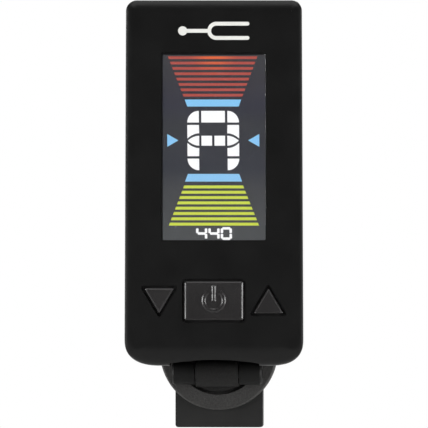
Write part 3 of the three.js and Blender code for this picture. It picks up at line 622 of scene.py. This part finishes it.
def button(name):
    """A button by its name, with the slopes round its faces on the glossier edge finish, whose lighter colour
    is a painted highlight.
    """
    body = cap(BUTTON_OUTLINES[name])
    if name == "power":
        join(body, *power_symbol())
    return smooth(edge_finish(soften(body, 0.06, segments=2), lambda n: -0.9 < n.y < -0.3))


# ---------------------------------------------------------------- swivel and clip


def swivel_disc():
    """The disc with its hub behind, and the middle hinge knuckle on a neck in front."""
    chamfer, back_y, hub = 0.2, -4.5, 2.0
    disc = turned([(DISC_RADIUS - chamfer, DISC_FRONT_Y), (DISC_RADIUS, DISC_FRONT_Y + chamfer),
                   (DISC_RADIUS, back_y), (hub, back_y), (hub, disc_high.y)], 0, SWIVEL_Z, 160)
    half, radius, neck, bore = 3.35, 2.1, 1.7, 0.78
    knuckle = rolled([(radius, -half), (radius, half)], HINGE_Y, HINGE_Z, 96)
    root, low, high = DISC_FRONT_Y + 0.5, HINGE_Z - neck, HINGE_Z + neck
    neck_profile = [(HINGE_Y, low), (root, low), (root, high), (HINGE_Y, high)]
    body = join(disc, knuckle, bar(neck_profile, -half, half))
    cut(body, rolled([(bore, -9), (bore, 9)], HINGE_Y, HINGE_Z, 40))
    return smooth(soften(body, 0.12))


def boss_ring():
    """The grained ring that the disc turns in, moulded on the front arm."""
    floor_y, back_y, chamfer = -4.4, -3.0, 0.25
    profile = [(BOSS_RADIUS - chamfer, BOSS_FRONT_Y), (BOSS_RADIUS, BOSS_FRONT_Y + chamfer),
               (BOSS_RADIUS, back_y - chamfer), (BOSS_RADIUS - chamfer, back_y)]
    body = cut(
        turned(profile, 0, SWIVEL_Z, 192),
        plate(circle(RECESS_RADIUS, 160, 0, SWIVEL_Z), BOSS_FRONT_Y - 1, floor_y),
        plate(circle(HUB_BORE, 48, 0, SWIVEL_Z), BOSS_FRONT_Y - 1, back_y + 1),
    )
    return smooth(soften(body, 0.08))


HUB_BORE = 2.08
RIB_COUNT, RIB_PITCH, RIB_FIRST, RIB_RADIUS, RIB_HALF = 5, 2.1, 2.4, 0.7, 5.2


def grip_ribs(face_y, slope):
    """Finger ribs across an arm's outer face, near the end that is squeezed."""
    inside = 0.25 * RIB_RADIUS * math.copysign(1, face_y)
    ribs = []
    for i in range(RIB_COUNT):
        drop = RIB_FIRST + i * RIB_PITCH
        profile = [(RIB_RADIUS * 0.6, -RIB_HALF), (RIB_RADIUS, 0.4 - RIB_HALF), (RIB_RADIUS, RIB_HALF - 0.4),
                   (RIB_RADIUS * 0.6, RIB_HALF)]
        ribs.append(rolled(profile, face_y - slope * drop - inside, CLIP_TOP - drop, 32))
    return ribs


def ears(inner, outer, radius, arm_y, bore):
    """Two ears, one each side, that reach from an arm's inner face to the pivot."""
    facing = 1 if arm_y < PIVOT_Y else -1
    nose = arc(PIVOT_Y, PIVOT_Z, facing * radius, radius, -90, 90, 24)
    lug = [(arm_y, PIVOT_Z - radius), *nose, (arm_y, PIVOT_Z + radius)]
    both = [bar(lug, *sorted((side * inner, side * outer))) for side in (-1, 1)]
    hole = rolled([(bore, -9), (bore, 9)], PIVOT_Y, PIVOT_Z, 40)
    return [cut(join(*both), hole)]


def clip_front():
    """The front arm: a plate with ears and ribs, cut for its pad, the screw's head, the hub and the ring."""
    foot, grip, half = 0.45, 2.0, CLIP_HALF
    outline = [
        *arc(half - foot, CLIP_BOTTOM + foot, foot, foot, -90, 0, 6),
        *arc(half - grip, CLIP_TOP - grip, grip, grip, 0, 90, 12),
        *arc(grip - half, CLIP_TOP - grip, grip, grip, 90, 180, 12),
        *arc(foot - half, CLIP_BOTTOM + foot, foot, foot, 180, 270, 6),
    ]
    body = join(
        plate(outline, ARM_FRONT_Y, ARM_INNER_Y),
        *ears(5.3, 6.9, 3.0, ARM_INNER_Y - 1, 1.03),
        *grip_ribs(ARM_FRONT_Y, 0),
    )
    pad_seat = rounded_box(pad_high.x + 0.1, pad_low.z - 0.1, pad_high.z + 0.1, 0.9)
    head_well, well_y, ring_seat, seat_y = 2.9, -2.6, 9.0, -3.1
    front_y = ARM_FRONT_Y - 3
    cut(
        body,
        plate(pad_seat, pad_low.y - 0.05, 1),
        plate(circle(head_well, 64, 0, SWIVEL_Z), well_y, 0),
        plate(circle(HUB_BORE, 48, 0, SWIVEL_Z), front_y, 0),
        plate(circle(ring_seat, 128, 0, SWIVEL_Z), front_y, seat_y),
    )
    return smooth(soften(body, 0.28))


THROAT_Y, THROAT_Z, GRIP_Y, ARM_THICKNESS = 9.4, 10.6, 13.5, 2.4


def rear_arm_line():
    """The rear arm's middle line as points with tangents: behind the pad, round the throat, to the grip."""
    pad_y = REAR_INNER_Y + ARM_THICKNESS / 2
    pad_top = 4.6
    bend = (pad_top + THROAT_Z) / 2
    hip = PIVOT_Z - 1
    curves = [
        ([(pad_y, CLIP_BOTTOM), (pad_y, pad_top)], 1),
        ([(pad_y, pad_top), (pad_y, bend), (THROAT_Y, bend), (THROAT_Y, THROAT_Z)], 24),
        ([(THROAT_Y, THROAT_Z), (THROAT_Y, hip)], 1),
        ([(THROAT_Y, hip), (THROAT_Y, PIVOT_Z + 3), (GRIP_Y, CLIP_TOP)], 24),
    ]
    stations = []
    for points, steps in curves:
        for i in range(1 if stations else 0, steps + 1):
            stations.append(bezier([Vector(p) for p in points], i / steps))
    return stations


def bezier(points, t):
    """The point and tangent of a Bezier curve of any degree."""
    while len(points) > 2:
        points = [a.lerp(b, t) for a, b in zip(points, points[1:])]
    return points[0].lerp(points[1], t), (points[1] - points[0]).normalized()


def clip_rear():
    """The rear arm: a bar along its line, with ears between the front arm's, ribs and a seat for its pad."""
    half = ARM_THICKNESS / 2
    sides = [[(p.x + s * half * t.y, p.y - s * half * t.x) for p, t in rear_arm_line()] for s in (1, -1)]
    arm = bar(sides[0] + sides[1][::-1], -REAR_HALF, REAR_HALF)
    slope = (GRIP_Y - THROAT_Y) / (CLIP_TOP - PIVOT_Z - 3)
    body = join(arm, *ears(3.5, 5.1, 2.8, THROAT_Y, 1.08), *grip_ribs(GRIP_Y + half, slope))
    seat = rounded_box(rear_pad_high.x + 0.1, rear_pad_low.z - 0.1, rear_pad_high.z + 0.1, 0.9)
    cut(body, plate(seat, 0, rear_pad_high.y + 0.05))
    return smooth(soften(body, 0.3))


def jaw_pad(face_y, back_y):
    """A rubber pad with rounded corners and shallow grooves across its face."""
    body = plate(rounded_box(pad_high.x, pad_low.z, pad_high.z, 0.8, 10), *sorted((face_y, back_y)))
    facing = math.copysign(1, face_y - back_y)
    out, into, half, pitch = face_y + 0.2 * facing, face_y - 0.25 * facing, 0.63, 1.4
    grooves = [bar([(out, z - half), (into, z), (out, z + half)], -8, 8)
               for z in (pitch * row for row in (-2, -1, 0, 1, 2))]
    return smooth(soften(cut(body, *grooves), 0.12))


def pin(radius, reach, y, z):
    """A pin along X with rounded ends."""
    return smooth(soften(rolled([(radius, -reach), (radius, reach)], y, z, 64), 0.15))


SPRING_RADIUS, WIRE_RADIUS, SPRING_HALF, SPRING_TURNS = 1.8, 0.45, 2.3, 4
LEG_TOP, REAR_LEG_Y = 28.0, 9.6


def spring_line():
    """The spring's centreline: down one leg, round the pin, and up the other leg."""
    front = Vector((ARM_INNER_Y + WIRE_RADIUS + 0.1 - PIVOT_Y, LEG_TOP - PIVOT_Z))
    rear = Vector((REAR_LEG_Y - PIVOT_Y, LEG_TOP - PIVOT_Z))
    lean = [math.acos(SPRING_RADIUS / leg.length) for leg in (front, rear)]
    start = math.atan2(front.y, front.x) + lean[0]
    sweep = math.atan2(rear.y, rear.x) - lean[1] + (SPRING_TURNS + 1) * 2 * math.pi - start
    steps = 320
    coil = []
    for i in range(steps + 1):
        a = start + sweep * i / steps
        x = -SPRING_HALF + 2 * SPRING_HALF * i / steps
        coil.append(Vector((x, PIVOT_Y + SPRING_RADIUS * math.cos(a), PIVOT_Z + SPRING_RADIUS * math.sin(a))))
    first = Vector((-SPRING_HALF, PIVOT_Y + front.x, PIVOT_Z + front.y))
    last = Vector((SPRING_HALF, PIVOT_Y + rear.x, PIVOT_Z + rear.y))
    leg_steps = 10
    down = [first.lerp(coil[0], i / leg_steps) for i in range(leg_steps)]
    up = [coil[-1].lerp(last, i / leg_steps) for i in range(1, leg_steps + 1)]
    return down + coil + up


def torsion_spring():
    """Round wire swept along the spring's line, with its cut ends a little rounded."""
    line = spring_line()
    side = Vector((1, 0, 0))
    rings = []
    for i, point in enumerate(line):
        along = (line[min(i + 1, len(line) - 1)] - line[max(i - 1, 0)]).normalized()
        side = (side - along * side.dot(along)).normalized()
        other = along.cross(side)
        end = i in (0, len(line) - 1)
        radius = WIRE_RADIUS * (0.8 if end else 1)
        rings.append([tuple(point + radius * (side * math.cos(a) + other * math.sin(a))) for a in turn(16)])
    return smooth(loft(rings))


def screw(head_radius, head_y, back_y, tip_y, shank, x, z):
    """A pan-head screw along Y with a cross recess."""
    profile = [(shank * 0.6, tip_y), (shank, tip_y + 0.5), (shank, head_y), (head_radius, head_y),
               (head_radius, back_y - 0.4), (head_radius * 0.93, back_y - 0.15), (head_radius * 0.7, back_y)]
    body = turned(profile, x, z, 48)
    reach, half = head_radius * 0.62, head_radius * 0.15
    for wide, tall in ((reach, half), (half, reach)):
        near = [(x - wide, z - tall), (x + wide, z - tall), (x + wide, z + tall), (x - wide, z + tall)]
        deep = [(x + (u - x) * 0.6, z + (v - z) * 0.6) for u, v in near]
        cut(body, loft([[(u, back_y - 0.7, v) for u, v in deep], [(u, back_y + 0.05, v) for u, v in near]]))
    return smooth(soften(body, 0.05, segments=2))


# ---------------------------------------------------------------- display

FILM_Y = window_high.y + 0.04
MARK_Y = window_high.y + 0.01
PANEL_LEAN = 0.008  # the display sits half a degree out of square behind its window


def graded(name, stops, warm=None, strength=1.0):
    """A lit area whose colour runs through stops up the screen, with a warmer spot where warm is given."""
    material, tree, shader = blank(name)
    place = node(tree, "ShaderNodeTexCoord")
    parts = node(tree, "ShaderNodeSeparateXYZ")
    link(tree, place.outputs["Object"], parts.inputs["Vector"])
    height = node(tree, "ShaderNodeMapRange", From_Min=window_low.z * MM, From_Max=window_high.z * MM)
    link(tree, parts.outputs["Z"], height.inputs["Value"])
    ramp = tree.nodes.new("ShaderNodeValToRGB")
    elements = ramp.color_ramp.elements
    for i, (at, colour) in enumerate(stops):
        stop = elements[i] if i < 2 else elements.new(at)
        stop.position = at
        stop.color = (*colour, 1)
    link(tree, height.outputs["Result"], ramp.inputs["Fac"])
    colour = ramp.outputs["Color"]
    if warm:
        (cx, cz, radius), spot = warm
        offset = node(tree, "ShaderNodeVectorMath")
        offset.operation = "DISTANCE"
        offset.inputs[1].default_value = (cx * MM, FILM_Y * MM, cz * MM)
        link(tree, place.outputs["Object"], offset.inputs[0])
        near = node(tree, "ShaderNodeMapRange", From_Min=0.0, From_Max=radius * MM, To_Min=1.0, To_Max=0.0)
        near.interpolation_type = "SMOOTHSTEP"
        link(tree, offset.outputs["Value"], near.inputs["Value"])
        mixed = tree.nodes.new("ShaderNodeMix")
        mixed.data_type = "RGBA"
        mixed.inputs["B"].default_value = (*spot, 1)
        link(tree, colour, mixed.inputs["A"])
        link(tree, near.outputs["Result"], mixed.inputs["Factor"])
        colour = mixed.outputs["Result"]
    link(tree, colour, shader.inputs["Emission Color"])
    shader.inputs["Emission Strength"].default_value = strength
    shader.inputs["Base Color"].default_value = (0.01, 0.01, 0.012, 1)
    shader.inputs["Roughness"].default_value = 0.35
    return material


def srgb(red, green, blue):
    """A screen colour, 0 to 255, as the linear values that shaders take."""
    values = [c / 255 for c in (red, green, blue)]
    return tuple(c / 12.92 if c <= 0.04045 else ((c + 0.055) / 1.055) ** 2.4 for c in values)


def marks(outlines, name, material):
    """Lit shapes just behind the window, as one piece."""
    leaning = [[(x - PANEL_LEAN * (z - DIGIT_BOTTOM), z) for x, z in outline] for outline in outlines]
    bodies = [plate(outline, MARK_Y, MARK_Y + 0.02) for outline in leaning]
    body = bodies[0]
    with bpy.context.temp_override(active_object=body, selected_editable_objects=bodies):
        bpy.ops.object.join()
    return piece(body, name, "head", [material])


def funnel_bars(count, pitch, first_z, first_half, last_half, thickness):
    """Bars that get shorter or longer step by step, with ends cut along the funnel's sides."""
    rate = (last_half - first_half) / (pitch * (count - 1))
    bars = []
    for i in range(count):
        high = first_z - i * pitch
        low = high - thickness
        wide, narrow = (first_half + rate * (first_z - z) for z in (high, low))
        bars.append([(-narrow, low), (narrow, low), (wide, high), (-wide, high)])
    return bars


A_HALF, A_TOP, A_BOTTOM, A_MIDDLE, STROKE, SPLIT = 4.07, 45.14, 35.81, 40.45, 1.83, 0.38
LENS_HALF = 0.78


def lens_edge(side, direction, gap, steps=8):
    """One edge of a leaf-shaped end, from its outer point in to its square cut, moved out by a gap."""
    inner, outer = A_HALF - STROKE - 0.03, A_HALF - 0.06
    points = []
    for i in range(steps + 1):
        t = i / steps
        x = outer + (inner - outer) * t
        points.append((side * x, A_MIDDLE + direction * (LENS_HALF * math.sin(t * math.pi / 2) ** 0.8 + gap)))
    return points


def letter_segments():
    """A note letter in segments, of the kind that any tuner shows."""
    inner, top, foot = A_HALF - STROKE, A_TOP - STROKE, A_BOTTOM + STROKE
    low, high = A_MIDDLE - LENS_HALF, A_MIDDLE + LENS_HALF
    cap = inner - SPLIT
    shapes = [[(-cap, top), (cap, top), (cap, A_TOP), (-cap, A_TOP)]]
    for side in (-1, 1):
        upper_start, lower_start = (0, -90) if side > 0 else (90, 180)
        shapes += [
            corner_segment(side * inner, top, upper_start),
            corner_segment(side * inner, foot, lower_start),
            [(side * A_HALF, top - SPLIT), (side * inner, top - SPLIT),
             *reversed(lens_edge(side, 1, SPLIT)), (side * A_HALF, A_MIDDLE + SPLIT)],
            [(side * A_HALF, foot + SPLIT), (side * inner, foot + SPLIT),
             *reversed(lens_edge(side, -1, SPLIT)), (side * A_HALF, A_MIDDLE - SPLIT)],
            [*lens_edge(side, 1, 0), *reversed(lens_edge(side, -1, 0)[1:])],
        ]
        near, far = sorted((side * SPLIT / 2, side * cap))
        shapes.append([(near, low), (far, low), (far, high), (near, high)])
    return shapes


def corner_segment(x, z, start):
    """A quarter of a disc about a point, from an angle."""
    return [(x, z), *arc(x, z, STROKE, STROKE, start, start + 90, 12)]


DIGIT_WIDTH, DIGIT_HEIGHT, DIGIT_STROKE, DIGIT_PITCH, DIGIT_BOTTOM = 1.78, 2.02, 0.4, 1.94, 24.87
SEGMENTS = {"4": "bcfg", "0": "abcdef"}


def digit_segments(text):
    """Seven-segment figures, centred on the screen's middle line."""
    w, h, s = DIGIT_WIDTH, DIGIT_HEIGHT, DIGIT_STROKE
    gap, mid, corner = 0.05, h / 2, 0.1
    upright = {"b": (w - s, mid + gap, h - s / 2), "c": (w - s, s / 2, mid - gap), "e": (0, s / 2, mid - gap),
               "f": (0, mid + gap, h - s / 2)}
    level = {"a": h - s, "d": 0, "g": mid - s / 2}
    shapes = []
    for i, figure in enumerate(text):
        x0 = (i - (len(text) - 1) / 2) * DIGIT_PITCH - w / 2
        for segment in SEGMENTS[figure]:
            if segment in level:
                x, z, wide, tall = s / 2 + gap, level[segment], w - s - 2 * gap, s
            else:
                x, z, high = upright[segment]
                wide, tall = s, high - z
            shapes.append(chamfered(x0 + x, DIGIT_BOTTOM + z, wide, tall, corner))
    return shapes


def chamfered(x, z, wide, tall, corner):
    """A rectangle from its lower left corner, with its corners cut."""
    c, right, top = corner, x + wide, z + tall
    return [(x + c, z), (right - c, z), (right, z + c), (right, top - c), (right - c, top), (x + c, top),
            (x, top - c), (x, z + c)]


def in_tune_shapes():
    """The two blue bars next to the letter, and the pointers at the letter's sides."""
    blocks = [(46.92, 45.82, 4.44, 4.05), (35.24, 34.03, 4.03, 4.49)]
    shapes = [[(-low_half, low), (low_half, low), (high_half, high), (-high_half, high)]
              for high, low, high_half, low_half in blocks]
    half, tip, base, z = 1.0, 5.48, 7.24, 40.5
    return shapes + [[(side * base, z - half), (side * base, z + half), (side * tip, z)] for side in (-1, 1)]


def display():
    """The lit display: its dark ground, and the marks on it."""
    low, high = window_low, window_high
    margin, top_margin = 0.03, 0.28
    film = rounded_box(high.x - margin, low.z + margin, high.z - top_margin, 0.15)
    # The ground glows with the backlight. Its stops run lighter towards the bottom, and that lower lightness
    # is a painted reflection in the window.
    ground_glow_and_painted_reflection = [(0.0, srgb(76, 78, 79)), (1.0, srgb(56, 57, 60)), (0.28, srgb(64, 65, 68)),
              (0.38, srgb(48, 50, 58)), (0.62, srgb(50, 51, 56)), (0.72, srgb(46, 46, 58)),
              (0.86, srgb(52, 51, 57))]
    piece(plate(film, FILM_Y, FILM_Y + 0.04), "display_film", "head",
          [graded("display_ground", ground_glow_and_painted_reflection)])
    red, hot = srgb(178, 78, 66), srgb(235, 105, 52)
    marks(funnel_bars(8, 0.84, 53.7, 7.04, 4.79, 0.43), "sharp_bars",
          graded("display_red", [(0.0, red), (1.0, red)], ((0, 54.6, 4.6), hot)))
    lime = [(0.0, srgb(208, 222, 74)), (1.0, srgb(214, 226, 82))]
    marks(funnel_bars(8, 0.835, 33.42, 4.62, 6.92, 0.45), "flat_bars", graded("display_lime", lime))
    blue = [(0.0, srgb(152, 204, 244)), (1.0, srgb(132, 205, 252))]
    marks(in_tune_shapes(), "in_tune_marks", graded("display_blue", blue))
    white = [(0.0, (0.95, 0.95, 0.95)), (1.0, (0.98, 0.98, 0.98))]
    marks(letter_segments() + digit_segments("440"), "note_and_pitch",
          graded("display_white", white, strength=1.12))


def window_glass():
    """Clear polished plastic, a little smoky."""
    material, tree, shader = blank("window_glass")
    smear = noise(tree, 6.0, 3)
    link(tree, spread(tree, smear, 0.03, 0.07), shader.inputs["Roughness"])
    link(tree, tint(tree, smear, (0.93, 0.94, 0.95), (0.97, 0.97, 0.98)), shader.inputs["Base Color"])
    shader.inputs["Transmission Weight"].default_value = 1.0
    shader.inputs["IOR"].default_value = 1.4
    return material


def fork_mark():
    """A tuning fork lying on its side, printed above the screen."""
    cx, cz, tine, stroke, tip = 0.4, 57.7, 1.12, 0.3, 5.3
    stem, ball, ball_x = 0.3, 0.72, -4.9
    out, inn = tine + stroke, tine - stroke
    spread_angle = math.degrees(math.asin(stem / out))
    ball_angle = math.degrees(math.asin(stem / ball))
    outline = [
        *arc(tip, cz + tine, stroke, stroke, 0, 90, 6)[1:],
        *arc(cx, cz, out, out, 90, 180 - spread_angle, 20),
        *arc(ball_x, cz, ball, ball, ball_angle, 360 - ball_angle, 32),
        *arc(cx, cz, out, out, 180 + spread_angle, 270, 20),
        *arc(tip, cz - tine, stroke, stroke, -90, 90, 12),
        *arc(cx, cz, inn, inn, 270, 90, 24),
        *arc(tip, cz + tine, stroke, stroke, -90, 0, 6),
    ]
    return smooth(plate(outline, FRONT_Y - 0.02, FRONT_Y + 0.01))


# ---------------------------------------------------------------- assembly


def build_head():
    """The head's shells, window, display, buttons, battery lid and screws."""
    piece(front_case(), "front_case", "head", SATIN, ["front_shell"])
    piece(rear_case(), "rear_case", "head", KNUCKLE, ["rear_shell"])
    glass = window_glass()
    pane = plate(rounded_box(window_high.x, window_low.z, window_high.z, 0.2, 4), window_low.y, window_high.y)
    edge_finish(pane, lambda n: abs(n.y) < 0.5)
    piece(smooth(pane), "screen_pane", "head", [glass, SATIN[0]], ["display_window"])
    ink = surface("fork_ink", (0.66, 0.66, 0.63), 0.4, 0.1, 0.002, blotch=0.03)
    piece(fork_mark(), "fork_emblem", "head", [ink])
    display()
    for name in BUTTON_OUTLINES:
        piece(button(name), f"{name}_key_cap", f"key_{name}", CAP, [f"{name}_button"])
    piece(battery_cover(), "battery_lid", "cover", SATIN, ["battery_cover"])
    for i, (x, z) in enumerate(SCREW_PLACES):
        head_y = BACK_Y - 1.45
        body = screw(1.5, head_y, head_y + 1.05, -15, 0.85, x, z)
        piece(body, f"case_fastener_{i + 1}", "head", DARK_STEEL, [f"case_screw_{i + 1}"])


def build_swivel():
    """The disc with the middle knuckle, its screw and the hinge pin."""
    piece(swivel_disc(), "swivel_knuckle", "swivel", BARREL, ["swivel_disc"])
    body = screw(1.9, -2, -0.9, -5, 0.9, 0, SWIVEL_Z)
    piece(body, "swivel_fastener", "swivel", DARK_STEEL, ["swivel_screw"])
    piece(pin(0.75, 6.7, HINGE_Y, HINGE_Z), "hinge_axle", "swivel", DARK_STEEL, ["hinge_pin"])


def build_clip():
    """The clip's arms, the ring, the pads, the pivot pin and the spring, which both arms pull on."""
    piece(clip_front(), "front_grip", "clip_front", CLIP, ["clip_front_arm"])
    piece(boss_ring(), "swivel_ring", "clip_front", GRAINED)
    piece(clip_rear(), "rear_grip", "clip_rear", CLIP, ["clip_rear_arm"])
    piece(jaw_pad(0, pad_low.y), "front_jaw_rubber", "clip_front", RUBBER, ["front_pad"])
    rear = jaw_pad(rear_pad_low.y, rear_pad_high.y)
    piece(rear, "rear_jaw_rubber", "clip_rear", RUBBER, ["rear_pad"])
    piece(pin(1.0, 6.7, PIVOT_Y, PIVOT_Z), "pivot_axle", "clip_front", STEEL, ["pivot_pin"])
    spring = torsion_spring()
    spring.name = "jaw_spring"
    spring.data.transform(Matrix.Scale(MM, 4))
    spring.data.materials.append(STEEL[0])
    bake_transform(spring)
    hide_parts("torsion_spring")


def finish_inner_nodes():
    """Procedural finishes for the pieces inside, which keep their CAD shapes."""
    white = surface("white_moulding", (0.72, 0.72, 0.69), 0.5, 0.1, 0.002, blotch=0.05)
    board = surface("solder_mask", (0.012, 0.1, 0.04), 0.35, 0.3, 0.004)
    epoxy = surface("black_epoxy", (0.014, 0.014, 0.015), 0.55, 0.06, 0.004)
    brass = surface("rolled_brass", (0.7, 0.5, 0.2), 0.3, 0.2, 0.001, metallic=1.0)
    panel = surface("panel_glass", (0.03, 0.032, 0.038), 0.12, 0.5, 0.0003)
    acrylic = surface("guide_acrylic", (0.8, 0.83, 0.85), 0.25, 0.3, 0.004)
    red = surface("red_sleeve", (0.4, 0.02, 0.012), 0.45, 0.1, 0.003)
    black = surface("black_sleeve", (0.015, 0.015, 0.015), 0.45, 0.1, 0.003)
    finishes = {
        "display_frame": white, "backlight_led": white, "lcd_panel": panel, "light_guide": acrylic,
        "connector_strip": RUBBER[0], "circuit_board": board, "tuner_chip": epoxy, "crystal": STEEL[0],
        "down_switch": STEEL[0], "power_switch": STEEL[0], "up_switch": STEEL[0], "cell_holder": epoxy,
        "coin_cell": STEEL[0], "negative_contact": STEEL[0], "positive_contact": STEEL[0],
        "piezo_disc": brass, "piezo_lead_red": red, "piezo_lead_black": black, "swivel_washer": STEEL[0],
    }
    for name, material in finishes.items():
        mesh = frame["nodes"][name].data
        mesh.materials.clear()
        mesh.materials.append(material)


# ---------------------------------------------------------------- studio

VIEW_TURN, VIEW_DISTANCE = 3.3, 3.0  # degrees round to the right, and metres
VIEW_WIDTH, VIEW_X, VIEW_Z = 67.2, 0.03, 28.94  # what the camera takes in, and the point it looks at
FLOOR_Z, FLOOR_RADIUS = -0.053, 0.36  # in metres; below the reach of the head when it is turned upside down


def camera():
    """A long, level lens, turned slightly round the object."""
    data = bpy.data.cameras.new("camera")
    data.sensor_width = 36
    data.lens = data.sensor_width * VIEW_DISTANCE / (VIEW_WIDTH * MM)
    made = bpy.data.objects.new("camera", data)
    bpy.context.scene.collection.objects.link(made)
    turned_by = math.radians(VIEW_TURN)
    aim = Vector((VIEW_X, FRONT_Y, VIEW_Z)) * MM
    back = Vector((math.sin(turned_by), -math.cos(turned_by), 0))
    made.location = aim + back * VIEW_DISTANCE
    made.rotation_euler = (math.pi / 2, 0, turned_by)
    bpy.context.scene.camera = made


def area_light(name, place, size, power, aim=(0, -0.01, 0.03)):
    """A rectangular soft light that faces the object, in metres and watts."""
    data = bpy.data.lights.new(name, "AREA")
    data.shape = "RECTANGLE"
    data.size, data.size_y = size
    data.energy = power
    made = bpy.data.objects.new(name, data)
    bpy.context.scene.collection.objects.link(made)
    made.location = place
    made.rotation_euler = (Vector(aim) - Vector(place)).to_track_quat("-Z", "Y").to_euler()


def floor():
    """A plain pale disc to stand the light on."""
    mesh = bpy.data.meshes.new("floor")
    rim = [(FLOOR_RADIUS * math.cos(a), FLOOR_RADIUS * math.sin(a), FLOOR_Z) for a in turn(96)]
    mesh.from_pydata(rim, [], [list(range(len(rim)))])
    made = bpy.data.objects.new("floor", mesh)
    bpy.context.scene.collection.objects.link(made)
    mesh.materials.append(surface("pale_floor", (0.82, 0.82, 0.81), 0.7, 2.0, 0.01, blotch=0.01))


def world():
    """White where the camera looks, and a soft room for the light: dark towards the camera, bright behind."""
    made = bpy.data.worlds.new("studio")
    bpy.context.scene.world = made
    made.use_nodes = True
    tree = made.node_tree
    background = tree.nodes["Background"]
    place = node(tree, "ShaderNodeTexCoord")
    parts = node(tree, "ShaderNodeSeparateXYZ")
    link(tree, place.outputs["Generated"], parts.inputs["Vector"])
    depth = node(tree, "ShaderNodeMapRange", From_Min=0.0, From_Max=0.8, To_Min=0.14, To_Max=0.7)
    link(tree, parts.outputs["Y"], depth.inputs["Value"])
    path = node(tree, "ShaderNodeLightPath")
    pick = tree.nodes.new("ShaderNodeMix")
    link(tree, path.outputs["Is Camera Ray"], pick.inputs["Factor"])
    link(tree, depth.outputs["Result"], pick.inputs["A"])
    pick.inputs["B"].default_value = 1.0
    link(tree, pick.outputs["Result"], background.inputs["Strength"])
    background.inputs["Color"].default_value = (1, 1, 1, 1)


def studio():
    """Strips at the sides for the edges, fills in front, a light overhead and one behind."""
    area_light("left_strip", (-0.7, -0.13, 0.06), (0.24, 0.3), 6.5)
    area_light("right_strip", (0.7, -0.13, 0.06), (0.24, 0.3), 6.5)
    area_light("left_front", (-0.7, -1.0, 0.09), (0.2, 0.2), 2.4)
    area_light("right_front", (0.7, -1.0, 0.09), (0.2, 0.2), 2.4)
    area_light("overhead", (0, -0.25, 0.7), (0.4, 0.9), 3.8)
    area_light("back_fill", (0.25, 0.9, 0.4), (0.6, 0.5), 3)
    floor()
    world()
    camera()
    bpy.context.scene.view_settings.view_transform = "Standard"


build_head()
build_swivel()
build_clip()
finish_inner_nodes()
studio()
